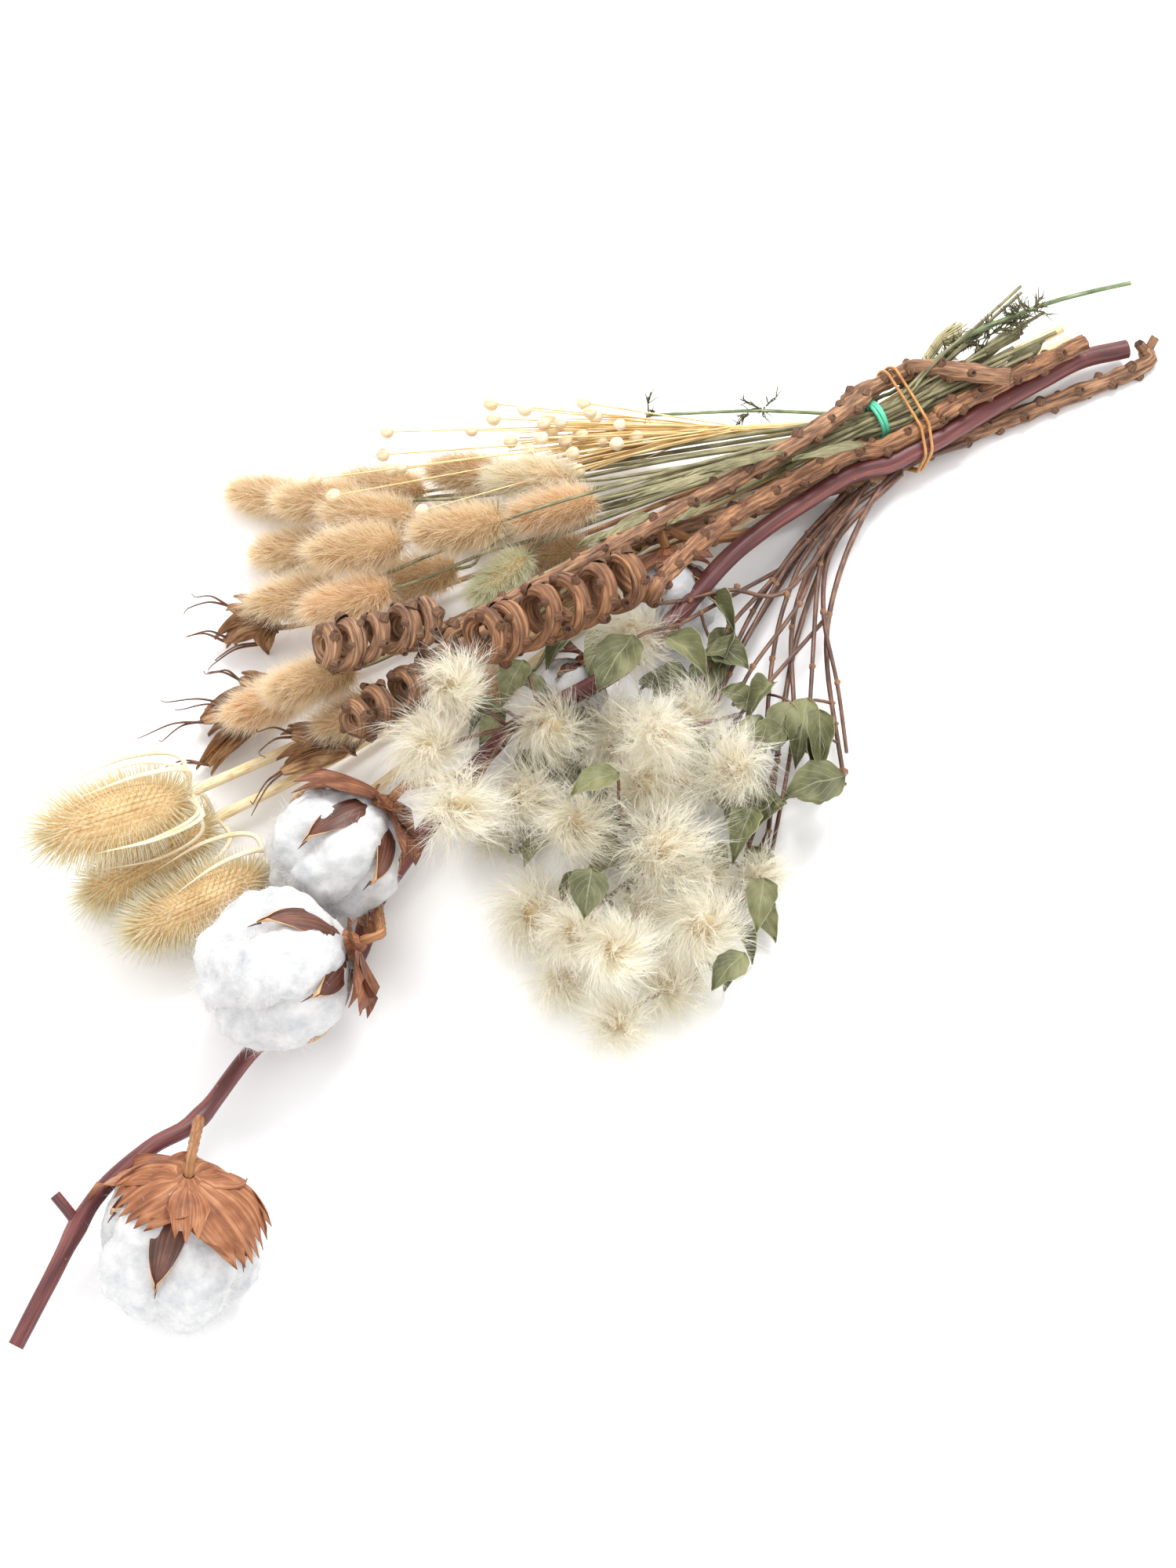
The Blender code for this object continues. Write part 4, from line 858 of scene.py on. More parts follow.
def leaf_skin(name, dark, middle, vein):
    """A dry leaf with a pale rib and side veins that run forward to its edge."""
    skin = Skin(name, Roughness=0.62)
    across = skin.maths("ABSOLUTE", skin.maths("SUBTRACT", skin.u, 0.5))
    rib = skin.maths("LESS_THAN", across, 0.018)
    run = skin.maths("SUBTRACT", skin.times(skin.v, 5.0), skin.times(across, 5.5))
    wobble = skin.times(skin.cloud(skin.here, 90.0), 0.5)
    fraction = skin.maths("FRACT", skin.maths("ADD", run, wobble))
    side = skin.maths("LESS_THAN", fraction, 0.07)
    lines = skin.maths("MAXIMUM", rib, side)
    patch = skin.cloud(skin.here, 45.0, 4.0)
    tone = skin.ramp(patch, [(0.34, paint(*dark)), (0.62, paint(*middle))])
    skin.colour(skin.mix(skin.times(lines, 0.45), tone, paint(*vein)))
    grain = skin.cloud(skin.here, 260.0)
    skin.bump(skin.maths("ADD", grain, skin.times(lines, 0.8)), 0.5, 0.4 * MM)
    skin.glow_through(tone, 0.2)
    return skin.material


def lint_skin(name):
    """White fibre with faint shade in its folds."""
    skin = Skin(name, Roughness=0.95, Sheen_Weight=0.3)
    fold = skin.cloud(skin.here, 90.0, 5.0, 0.6)
    tone = skin.ramp(fold, [(0.3, paint(200, 202, 205)), (0.62, paint(240, 240, 240))])
    skin.colour(tone)
    skin.bump(skin.cloud(skin.here, 420.0, 4.0, 0.7), 0.6, 0.8 * MM)
    skin.glow_through(tone, 0.25)
    return skin.material


def rubber_skin(name, dark, light):
    skin = Skin(name, Roughness=0.5, Specular_IOR_Level=0.35)
    patch = skin.cloud(skin.here, 150.0, 3.0)
    skin.colour(skin.ramp(patch, [(0.35, paint(*dark)), (0.65, paint(*light))]))
    skin.bump(skin.cloud(skin.rod(0.3), 9.0), 0.25, 0.2 * MM)
    return skin.material


# Each skin's maker and values; most have dark, middle and light tones, and then how they are drawn
SKINS = {
    "red_bark": (bark_skin, (70, 34, 36), (106, 54, 53), (146, 86, 78), 0.12, 1.6, 0.42, 0.25),
    "stalk_bark": (bark_skin, (110, 70, 45), (165, 112, 70), (205, 160, 110), 0.3, 3.0),
    "cut_wood": (fibre_skin, (150, 112, 76), (188, 148, 108), (214, 182, 142)),
    "dark_carpel": (fibre_skin, (52, 30, 24), (92, 54, 42), (140, 92, 70), 5.0, 0.5),
    "carpel_lining": (fibre_skin, (150, 104, 68), (200, 156, 110), (228, 196, 158), 5.0, 0.6),
    "bract_husk": (fibre_skin, (106, 58, 34), (160, 100, 64), (204, 148, 106), 9.0, 0.6, 0.15),
    "curled_husk": (fibre_skin, (76, 42, 30), (124, 76, 54), (178, 122, 88), 9.0, 0.6, 0.1),
    "lint_fibre": (lint_skin,),
    "loose_fibre": (hair_skin, (232, 234, 236), (242, 243, 244), (250, 250, 250), 0.95, 0.5),
    "teasel_core": (fibre_skin, (150, 112, 66), (224, 190, 140), (248, 226, 184), 30.0),
    "teasel_spine": (hair_skin, (253, 238, 200), (255, 251, 230), (255, 255, 248), 0.97, 0.6, 0.6),
    "teasel_stem": (fibre_skin, (208, 170, 116), (242, 220, 174), (253, 242, 212), 11.0, 0.55, 0.0, 0.8),
    "teasel_bract": (fibre_skin, (226, 208, 164), (244, 232, 202), (252, 246, 228), 4.0, 0.6, 0.15),
    # The four grass-head hairs below go from a deep tone at the root to a pale tip, over a core with a
    # deep tone of its own: partly the heads' own colour, partly painted shade deep in the plush and
    # painted light on the outer tips.
    "beige_hair": (hair_skin, (214, 182, 134), (246, 226, 188), (255, 250, 238), 0.9, 0.5),
    "peach_hair": (hair_skin, (228, 192, 146), (251, 228, 192), (255, 250, 238), 0.92, 0.5),
    "cream_hair": (hair_skin, (232, 220, 190), (248, 242, 220), (255, 254, 246), 0.92, 0.5),
    "green_hair": (hair_skin, (216, 218, 182), (240, 242, 214), (252, 253, 240), 0.93, 0.5),
    "grass_core": (fibre_skin, (168, 132, 90), (196, 162, 118), (220, 190, 148), 20.0),
    "grass_green": (fibre_skin, (82, 80, 54), (126, 120, 86), (178, 170, 132), 8.0),
    "grass_pale": (fibre_skin, (118, 114, 80), (164, 156, 120), (204, 194, 158), 8.0),
    "pod_paper": (fibre_skin, (98, 64, 40), (166, 122, 82), (216, 176, 128), 7.0, 0.6, 0.12),
    "pod_horn": (fibre_skin, (62, 42, 36), (104, 74, 60), (150, 112, 88), 3.0),
    "pod_lining": (fibre_skin, (124, 84, 56), (184, 142, 102), (222, 186, 146), 5.0, 0.6, 0.2),
    "pod_back": (fibre_skin, (88, 54, 36), (154, 108, 72), (206, 162, 114), 7.0, 0.6, 0.2),
    "gold_straw": (fibre_skin, (206, 164, 102), (236, 204, 142), (250, 230, 182), 3.0, 0.5),
    "capsule_skin": (fibre_skin, (222, 190, 142), (244, 224, 188), (252, 242, 222), 5.0, 0.6, 0.15),
    "brown_straw": (fibre_skin, (150, 112, 66), (196, 156, 100), (224, 192, 140), 3.0, 0.5),
    "faded_straw": (fibre_skin, (126, 118, 82), (176, 166, 124), (214, 204, 164), 3.0, 0.5),
    "dark_leaf": (fibre_skin, (50, 46, 28), (88, 84, 54), (128, 124, 88), 4.0),
    "dark_stalk": (fibre_skin, (70, 84, 54), (116, 130, 92), (164, 176, 138), 4.0),
    "seed_plume": (hair_skin, (228, 216, 184), (248, 245, 231), (255, 255, 250), 0.93, 0.55, 0.6),
    "seed_heart": (hair_skin, (186, 158, 112), (214, 190, 146), (238, 222, 190), 0.85, 0.3),
    "vine_bark": (fibre_skin, (56, 38, 32), (98, 68, 54), (150, 110, 84), 5.0, 0.5),
    "vine_knuckle": (fibre_skin, (96, 64, 46), (144, 102, 72), (188, 148, 110), 6.0),
    "leaf_top": (leaf_skin, (84, 86, 56), (142, 142, 100), (184, 180, 142)),
    "leaf_under": (leaf_skin, (128, 130, 98), (174, 172, 138), (204, 200, 168)),
    "tan_skin": (rubber_skin, (168, 114, 62), (200, 150, 92)),
    "mint_skin": (rubber_skin, (70, 176, 140), (104, 204, 168)),
}
COIL_TONES = [
    ((58, 40, 30), (138, 100, 72), (204, 160, 122)),
    ((54, 34, 24), (130, 88, 58), (192, 142, 98)),
    ((58, 40, 28), (134, 96, 68), (196, 152, 112)),
]
for seed, (dark, middle, light) in enumerate(COIL_TONES, 1):
    # The scar skin's deepest tone, 0.6 of the bark's dark, goes on the cup inside each leaf scar's rim:
    # partly the scar's own colour, partly painted shade in that hollow.
    scar_and_hollow_shade, duller = tuple(part * 0.6 for part in dark), tuple(part * 0.78 for part in middle)
    SKINS[f"coil_bark_{seed}"] = bark_skin, dark, middle, light, 0.30, 2.2, 0.7, 0.8
    SKINS[f"coil_scar_{seed}"] = bark_skin, scar_and_hollow_shade, dark, middle, 0.6, 3.0, 0.8, 0.5
    SKINS[f"coil_peg_{seed}"] = bark_skin, dark, duller, middle, 0.6, 3.0, 0.8, 0.5


def made_skin(name):
    """The named skin, made when it is first asked for."""
    if name not in bpy.data.materials:
        maker, *values = SKINS[name]
        maker(name, *values)
    return bpy.data.materials[name]


# Cotton

BARK_SPECKS = 46
# Loose hairs on a boll of the full size, and how wide they are
LINT_HAIRS = 9000
LINT_HAIR = 0.17
# How far each boll is turned on its stalk, and how far round it each of its carpels reaches
CARPEL_TURN = [0.872, -0.085, -0.328, 0.0, 0.0]
CARPEL_REACH = [(1.52, 1.1, 1.5, 1.6, 1.3), (1.15, 1.5, 2.1, 1.8, 1.6), (1.4, 1.65, 1.6, 1.5, 1.5),
                (1.3, 1.3, 1.3, 1.3, 1.3), (1.3, 1.3, 1.3, 1.3, 1.3)]
# Each boll's bracts: the way round the stalk, half the width, the reach, the lift and the curl
BRACTS = [
    [
        (0.1, 0.66, 1.28, 1.5, 2.0), (2.35, 0.62, 0.9, 2.0, 2.0), (1.2, 0.22, 0.85, 5.0, 5.0),
        (3.45, 0.4, 1.5, 6.0, 2.0), (4.9, 0.5, 1.1, 2.0, 2.0),
    ],
    [
        (0.1, 0.26, 0.85, 4.0, 5.0), (5.6, 0.3, 0.85, 5.0, 5.0), (1.3, 0.18, 0.5, 5.0, 4.0),
        (4.4, 0.4, 0.9, 3.0, 4.0),
    ],
    [
        (0.0, 0.32, 0.95, 3.0, 5.0), (2.4, 0.36, 1.4, 2.0, 3.0), (1.2, 0.24, 0.5, 4.0, 4.0),
        (5.3, 0.4, 0.8, 4.0, 4.0),
    ],
    [
        (0.3, 0.42, 0.9, 3.0, 4.0), (2.6, 0.45, 0.95, 3.0, 3.0),
    ],
    [
        (0.6, 0.4, 0.9, 3.0, 4.0), (2.4, 0.4, 0.9, 3.0, 3.0),
    ],
]


def place_cotton(heap):
    """The branch's path and its bolls' stalks, as the solids are laid."""
    path = curve_through(cotton_axis(), 36 * MM)
    routes = []
    for centre, size, way, stalk_places in BOLLS:
        radius = BOLL_SCALE * size * MM
        _, stalk = boll_frame(Vector(), way)
        foot = spot(*centre) + stalk * (radius + (2 * GAP / MM + HUB_DEPTH) * MM)
        route = curve_through([foot, foot + stalk * 9 * MM] + spots(stalk_places), 15 * MM)
        routes.append(route)
        add_rods(heap, route, 2.4 * MM)
    add_rods(heap, path, 5.0 * MM)
    for centre, size, way, _ in BOLLS:
        radius = BOLL_SCALE * size * MM
        middle = spot(*centre)
        _, stalk = boll_frame(middle, way)
        heap.append((middle, middle, radius + 1.2 * MM))
        reach = radius + (BUR_OFFSET + 3.5) * MM
        covered = middle + stalk * reach * 0.4
        heap.append((covered, covered, reach))
    return routes


def dress_branch(routes):
    form = Form()
    path = curve_through(cotton_axis(), 5 * MM)
    total = len(path) - 1
    radii = taper(path, *COTTON_STEM)
    knots = spots([(942, 667, 32), (465, 1185, 13), (254, 1426, 30), (95, 1565, 31), (600, 985, 27)])
    for number, point in enumerate(path):
        near = min((point - knot).length for knot in knots)
        radii[number] *= 1 + 0.22 * math.exp(-(near / (7 * MM)) ** 2)

    def relief(angle, run):
        return 1 + 0.03 * np.sin(2 * angle + 0.3 * run) + 0.012 * np.sin(11 * angle + 2 * np.sin(run))
    add_tube(form, path, radii, 24, relief, 0, 2)
    for route in routes:
        fine = curve_through(route, 2.5 * MM)
        count = len(fine)
        thick = [(2.2 + 0.5 * at / count + 0.25 * math.sin(1.7 * at)) * MM for at in range(count)]
        add_tube(form, fine, thick, 12, None, 1)
    stub = spots([(97, 1558, 31), (84, 1541, 35), (70, 1524, 38)])
    add_tube(form, curve_through(stub, 2 * MM), 2.7 * MM, 12, None, 0, 2)
    bud = spots([(462, 1170, 14), (470, 1180, 24), (478, 1190, 30), (486, 1193, 31)])
    fine = curve_through(bud, 2 * MM)
    thick = [(2.3 + 1.1 * math.sin(0.9 * number)) * MM for number in range(len(fine))]
    add_tube(form, fine, thick, 10, None, 1)
    draw = random.Random(31)
    for _ in range(BARK_SPECKS):
        number = draw.randrange(3, total - 3)
        way = scatter(draw, (-1, 1), (-1, 1), (-0.2, 1)).normalized()
        along = (path[number + 1] - path[number]).normalized()
        way = (way - along * way.dot(along)).normalized()
        size = draw.uniform(0.25, 0.6)
        speck = [(0, size), (0.16, size * 0.8), (0.22, 0.05)]
        add_lathe(form, path[number] + way * radii[number] * 0.97, way, speck, 6, 1)
    form.build("cotton_wood", ["red_bark", "stalk_bark", "cut_wood"], ["cotton_branch"])


def dress_lint(index):
    """Five soft locks with folds between them, and loose fibres over them."""
    centre, size, way, _ = BOLLS[index]
    radius = BOLL_SCALE * size * MM
    turn, middle = as_arrays(boll_frame(spot(*centre), way)[0])
    draw = np.random.default_rng(40 + index)
    form = Form()

    def reach(ways):
        around = np.arctan2(ways[:, 2], ways[:, 1]) - CARPEL_TURN[index]
        side = np.hypot(ways[:, 1], ways[:, 2])
        lobes = np.abs(np.cos(around * LOCKS / 2 + 0.3 * clouds(ways, 0.5, index + 3))) ** 0.5
        out = 1.03 - 0.27 * (1 - lobes) * side
        out += 0.11 * clouds(ways, 0.46, index + 1) + 0.06 * clouds(ways, 0.2, index + 9)
        out += 0.03 * clouds(ways, 0.07, index + 5)
        return middle + (ways * out[:, None] * radius) @ turn.T
    ways, points = add_ball(form, 5 if size > 0.7 else 4, reach)
    count = int(LINT_HAIRS * size * size)
    chosen = draw.integers(0, len(ways), count)
    outward = unit(ways[chosen] @ turn.T)
    lean = unit(outward * 0.55 + draw.normal(size=(count, 3)) * 0.75)
    bends = draw.normal(size=(count, 3)) * 0.6 - outward * 0.35
    long_ones = draw.uniform(2.4, 7.5, count) * MM * (1 + 0.9 * (draw.random(count) > 0.85))
    long_ones *= np.clip(0.85 + 0.8 * ways[chosen, 0], 0.3, 1)
    roots = points[chosen] - outward * 0.8 * MM
    add_strands(form, draw, roots, lean, long_ones, bends, LINT_HAIR * MM, 2, 1)
    form.build(f"lint_{index + 1}", ["lint_fibre", "loose_fibre"], [f"cotton_lint_{index + 1}"])


def husk(form, place, radius, middle, half_width, ends, lift, teeth, ribs, skins, curl=0.0, point=1.0):
    """One dry blade that lies round the lint, from the stalk outwards."""
    turn, centre = as_arrays(place)

    def shape(along, across):
        saw = np.abs((across * teeth * 0.5 + 0.5) % 1.0 - 0.5) * 2 if teeth else 0 * across
        stop = ends[1] * (1 - 0.2 * saw * along - 0.10 * across ** 2 * along)
        polar = ends[0] + (stop - ends[0]) * along
        swell = np.sin(math.pi * np.minimum(1.0, along * point * 0.85 + 0.14)) ** 0.8
        spread = across * half_width * np.maximum(swell, 0.04) / np.maximum(np.sin(polar), 0.3)
        around = middle + spread
        out = radius + lift * along ** 2 + curl * across ** 2 * along
        folds = 0.5 * MM * np.cos(across * ribs * math.pi) + 0.9 * MM * np.sin(5 * along + 3 * across)
        out += folds * along
        ring = np.sin(polar) * out
        local = np.stack([-np.cos(polar) * out, ring * np.cos(around), ring * np.sin(around)], 2)
        return centre + local @ turn.T
    add_sheet(form, shape, 14, 4 * max(teeth, 2) + 1, 0.4 * MM, *skins)


def dress_bur(index):
    """Five dark carpels between the locks, and dry bracts round the stalk's end."""
    centre, size, way, _ = BOLLS[index]
    radius = BOLL_SCALE * size * MM
    place, stalk = boll_frame(spot(*centre), way)
    near = radius * 0.97
    form = Form()
    foot = place.translation + stalk * (radius + (GAP / MM + HUB_DEPTH) * MM)
    profile = [(0, 2.6), (1.0, 4.0), (3.0, 6.2), (5.4, 7.6), (8.5, 7.4), (9.0, 0.1)]
    add_lathe(form, foot, -stalk, profile, 16, 2)
    for number, stop in enumerate(CARPEL_REACH[index]):
        middle = (number + 0.5) * 2 * math.pi / LOCKS + CARPEL_TURN[index]
        husk(form, place, near, middle, 0.23, (0.10, stop), 1.5 * MM, 0, 1, (0, 1), 1.0 * MM)
        tip = []
        for polar in (stop - 0.06, stop + 0.03, stop + 0.13):
            out, ring = -math.cos(polar) * near, math.sin(polar) * near
            tip.append(place @ Vector((out, ring * math.cos(middle), ring * math.sin(middle))))
        add_tube(form, tip, [0.7 * MM, 0.45 * MM, 0.12 * MM], 6, None, 0)
    skin = 2 if index == 0 else 3
    outer = radius + (BRACT_OFFSET * 0.8 + 0.7) * MM
    for middle, half_width, stop, lift, curl in BRACTS[index]:
        teeth = 7 if half_width > 0.5 else 3
        husk(form, place, outer, middle, half_width, (0.11, stop), lift * MM, teeth, 9, (skin, skin),
             curl * MM, 0.72)
    skins = ["dark_carpel", "carpel_lining", "bract_husk", "curled_husk"]
    form.build(f"bur_{index + 1}", skins, [f"cotton_bur_{index + 1}"])


# Teasels

TEASEL_SPINES = 980
FINE_SPINES = 260
SPARE_BRACTS = 4


def place_teasels(heap):
    ends = [lay(heap, tip, base, TEASEL_RADIUS * size, TEASEL_LENGTH, inset=19)
            for tip, base, size, _ in TEASELS.values()]
    heads = heap[-len(ends):]
    placed = {}
    for index, (tip, base) in zip(TEASELS, ends):
        placed[index] = place_teasel(index, tip, base, heap, heads)
    return placed


def place_teasel(index, tip, base, heap, heads):
    name = f"teasel_{index}"
    axis = (tip - base).normalized()
    route = [base + axis * 8 * MM, base - axis * 3 * MM]
    route += [spot(*pixel, 6.0) for pixel in TEASELS[index][3]] + through_tie(name) + [cut_end(name, 95)]
    path = curve_through(route, 11 * MM)
    order = list(TEASELS).index(index)
    laid = [rod for rod in heap if rod not in heads or heads.index(rod) != order]
    path = clear_path(path, TEASEL_STEM * MM, laid, 2.6, 1.8, 1)
    turn = turned(base, tip).to_3x3()
    arcs = []
    for number in range(TEASEL_BRACTS):
        angle = number * 2 * math.pi / TEASEL_BRACTS + 0.4
        side = turn @ Vector((0, math.cos(angle), math.sin(angle)))
        if base.z + side.z * 27 * MM < 3 * MM:
            continue
        arc = [base + axis * 3 * MM, base + side * 19 * MM, base + side * 26 * MM + axis * 22 * MM,
               base + side * 23 * MM + axis * 52 * MM]
        if not arc_crosses(arc, laid):
            arcs.append(arc)
            add_rods(heap, arc, 1.3 * MM)
    add_rods(heap, path, TEASEL_STEM * MM)
    return tip, base, path, arcs


def arc_crosses(arc, heap):
    """Whether a bract comes too near to what is laid already."""
    for start, end in zip(arc, arc[1:]):
        for part in (0, 0.25, 0.5, 0.75, 1):
            point = start.lerp(end, part)
            if any((point - nearest_on(rod, point)).length < rod[2] + 0.2 * MM for rod in heap):
                return True
    return False


def lean_out(draw, ways, flat, push, spread, tufts=0.0):
    """Ways out of a head's core, flattened along it, pushed towards its tip, tufted and spread."""
    outward = unit(ways * np.array([flat, 1, 1]))
    return unit(outward + np.array([push, 0, 0]) + tufts + draw.normal(size=ways.shape) * spread)


def dress_teasel(index, tip, base, path, arcs):
    """A brown core with hundreds of bent spines, pale bracts and a grooved stem."""
    size = TEASELS[index][2]
    radius = TEASEL_RADIUS * size * MM
    draw = np.random.default_rng(60 + index)
    turn, middle = as_arrays(turned(base, tip))
    half = (tip - base).length / 2
    form = Form()

    def core(ways):
        side = 0.64 * radius * (1 - 0.14 * ways[:, 0])
        local = np.stack([ways[:, 0] * half * 0.88, ways[:, 1] * side, ways[:, 2] * side], 1)
        return middle + local @ turn.T
    add_ball(form, 4, core)
    count = TEASEL_SPINES
    ways = sunflower(count)
    roots = core(ways)
    lean = lean_out(draw, ways, 0.55, 0.16, 0.06)
    long_ones = radius * (0.54 + 0.18 * draw.random(count)) * (1 + 0.25 * np.maximum(ways[:, 0], 0))
    bends = np.tile(np.array([0.08, 0, 0]), (count, 1)) + draw.normal(size=(count, 3)) * 0.03
    add_spines(form, roots, lean @ turn.T, long_ones, bends @ turn.T, 0.40 * MM, draw, 1)
    count = FINE_SPINES
    ways = unit(draw.normal(size=(count, 3)))
    lean = lean_out(draw, ways, 0.55, 0.5, 0.2)
    long_ones = radius * draw.uniform(0.3, 0.5, count)
    bends = draw.normal(size=(count, 3)) * 0.2 + np.array([0.3, 0, 0])
    add_strands(form, draw, core(ways), lean @ turn.T, long_ones, bends @ turn.T, 0.3 * MM, 2, 1)
    fine = curve_through(path, 5 * MM)

    def grooves(angle, run):
        return 1 + 0.09 * np.abs(np.sin(4 * angle + 0.05 * run)) + 0.02 * np.sin(run)
    add_tube(form, fine, TEASEL_STEM * 0.97 * MM, 32, grooves, 2)
    for arc in arcs + spare_bracts(base, tip, radius, index):
        line = curve_through(arc, 3 * MM)
        count = len(line)
        wide = [1.15 * MM * math.sin(math.pi * min(1, 0.25 + 0.8 * at / count)) + 0.12 * MM
                for at in range(count)]
        add_tube(form, line, wide, 8, lambda angle, run: 1 - 0.55 * np.sin(angle) ** 2 + 0 * run, 3)
    skins = ["teasel_core", "teasel_spine", "teasel_stem", "teasel_bract"]
    form.build(f"spiny_head_{index}", skins, [f"teasel_{index}"])


def spare_bracts(base, tip, radius, index):
    """More long bracts that lie close along the head's sides."""
    axis = (tip - base).normalized()
    turn = turned(base, tip).to_3x3()
    draw = random.Random(80 + index)
    arcs = []
    for number in range(SPARE_BRACTS):
        angle = number * 1.6 + draw.uniform(0, 0.8)
        side = turn @ Vector((0, math.cos(angle), math.sin(angle)))
        swing = turn @ Vector((0, -math.sin(angle), math.cos(angle))) * draw.uniform(-9, 9) * MM
        if side.z < -0.2:
            continue
        far = draw.uniform(34, 58) * MM
        arcs.append([base, base + side * radius * 0.8 + axis * 2 * MM,
                     base + side * (radius + 3 * MM) + axis * far * 0.5 + swing * 0.5,
                     base + side * (radius + 1 * MM) + axis * far + swing])
    return arcs


def add_spines(form, roots, ways, lengths, bends, thick, draw, skin):
    """Stiff three-sided spines in two stretches."""
    count = len(roots)
    side = unit(np.cross(ways, draw.normal(size=(count, 3))))
    other = np.cross(ways, side)
    lengths = lengths[:, None]
    rings = []
    for part, size in ((0.0, 1.0), (0.5, 0.62)):
        middle = roots + ways * lengths * part + bends * lengths * part ** 2
        for turn in range(3):
            angle = turn * 2 * math.pi / 3
            rings.append(middle + (side * math.cos(angle) + other * math.sin(angle)) * thick * size)
    rings.append(roots + (ways + bends) * lengths)
    corners, parts = [], []
    for turn in range(3):
        after = (turn + 1) % 3
        corners += [(turn, after, after + 3), (turn, after + 3, turn + 3), (turn + 3, after + 3, 6)]
        parts += [(0, 0, 0.5), (0, 0.5, 0.5), (0.5, 0.5, 1)]
    faces = (np.arange(count)[:, None, None] * 7 + np.array(corners)[None]).reshape(-1, 3)
    tint = np.broadcast_to(draw.random(count)[:, None, None], (count, len(corners), 3))
    along = np.broadcast_to(np.array(parts)[None], tint.shape)
    places = np.stack([tint, along], 3).reshape(-1, 3, 2)
    form.add(np.stack(rings, 1).reshape(-1, 3), faces, places, skin)


# Grass heads

TAIL_HAIRS = 2800
TAIL_BRISTLES = 560
PEACH_TAILS = {1, 3, 18, 19}
# How many more grass stems lie in the band
BAND_GRASS = 16
SHEATHS = [((830, 655, 58), (765, 690, 60), 4.0, 1), ((800, 675, 58), (735, 700, 56), 3.5, 2),
           ((905, 640, 52), (850, 672, 55), 3.0, 3), ((930, 596, 58), (800, 640, 62), 3.0, 5),
           ((1000, 575, 54), (870, 612, 60), 3.0, 6), ((1105, 566, 50), (1010, 588, 52), 4.0, 7),
           ((1285, 470, 20), (1332, 436, 22), 6.0, 4)]
# Where the thin green ends stop, past the tie
LOOSE_ENDS = [
    (1303, 373, 40), (1302, 365, 30), (1347, 424, 34), (1332, 398, 38), (1240, 420, 44),
    (1215, 440, 46), (1270, 410, 36), (1258, 452, 40), (1300, 430, 26), (1282, 392, 30),
]


def place_tails(heap):
    ends = []
    for tip, base, size in TAILS:
        radius = TAIL_RADIUS * size
        ends.append(lay(heap, tip, base, radius, TAIL_LENGTH * size, inset=radius * 0.8))
    return ends


def dress_tail(index, tip, base):
    """A plush head: fine hairs that lean towards the tip, with some longer bristles."""
    size = TAILS[index - 1][2]
    radius = TAIL_RADIUS * size * MM
    draw = np.random.default_rng(100 + index)
    turn, middle = as_arrays(turned(base, tip))
    half = (tip - base).length / 2
    sag = draw.uniform(-0.05, 0.05, 2)

    def core(ways):
        side = 0.64 * radius * (1 - 0.10 * ways[:, 0])
        bow = (1 - ways[:, 0] ** 2) * half
        across = ways[:, 1] * side + bow * sag[0], ways[:, 2] * side + bow * sag[1]
        return middle + np.stack([ways[:, 0] * half * 0.86, *across], 1) @ turn.T
    form = Form()
    add_ball(form, 3, core)
    count = TAIL_HAIRS
    ways = sunflower(count)
    tufts = np.stack([clouds(ways, 0.25, 3 * index + k) for k in range(3)], 1)
    lean = lean_out(draw, ways, 0.45, 0.68, 0.2, tufts * 0.5)
    long_ones = radius * draw.uniform(0.60, 0.95, count)
    bends = draw.normal(size=(count, 3)) * 0.16 + np.array([0.15, 0, 0]) + tufts * 0.25
    add_strands(form, draw, core(ways), lean @ turn.T, long_ones, bends @ turn.T, 0.26 * MM, 2, 1)
    count = TAIL_BRISTLES
    ways = unit(draw.normal(size=(count, 3)))
    lean = lean_out(draw, ways, 0.45, 0.9, 0.3)
    long_ones = radius * draw.uniform(0.9, 1.5, count)
    bends = draw.normal(size=(count, 3)) * 0.25
    starts = core(ways), lean @ turn.T
    add_strands(form, draw, *starts, long_ones, bends @ turn.T, 0.12 * MM, 2, 1, (0.5, 1))
    tone = "beige"
    if index in PEACH_TAILS:
        tone = "peach"
    if index in GREEN_TAILS:
        tone = "green" if index == 20 else "cream"
    # The core's deep tone and the hairs' deep roots are partly painted shade inside the head.
    skins = ["grass_core", f"{tone}_hair"]
    form.build(f"plush_head_{index:02d}", skins, [f"bunny_tail_{index:02d}"])


def place_tail_stems(ends, heap):
    across, height = SLOTS["tails"]
    middle = TIE + ACROSS * across * MM + Vector((0, 0, height * MM))
    draw = random.Random(7)
    core = [middle - ALONG * TIE_REACH * MM, middle + ALONG * TIE_STRAIGHT * MM]
    paths = [core]
    for number, (tip, base) in enumerate(ends):
        way = -(tip - base).normalized()
        angle = number * DISC_ANGLE
        ring = 6.1
        offset = ACROSS * math.cos(angle) * ring * MM + Vector((0, 0, math.sin(angle) * ring * MM))
        start = base + way * GAP
        through = number % 3 == 0
        tied = [middle + offset * (1 if through else 0.5) + ALONG * at * MM
                for at in (-TIE_REACH, -6, TIE_STRAIGHT)][:3 if through else 2]
        arch = start.lerp(tied[0], 0.55) + Vector((0, 0, 5 * MM))
        route = [start, start + way * 10 * MM, arch] + tied
        cut = spot(draw.uniform(1215, 1330), draw.uniform(405, 455), draw.uniform(14, 28))
        path = curve_through(route + [cut] * through, 16 * MM)
        paths.append(clear_path(path, TAIL_STEM * MM, heap, 3.2, 2.2, 2))
    for path in paths:
        add_rods(heap, path, TAIL_STEM * MM)
    return paths


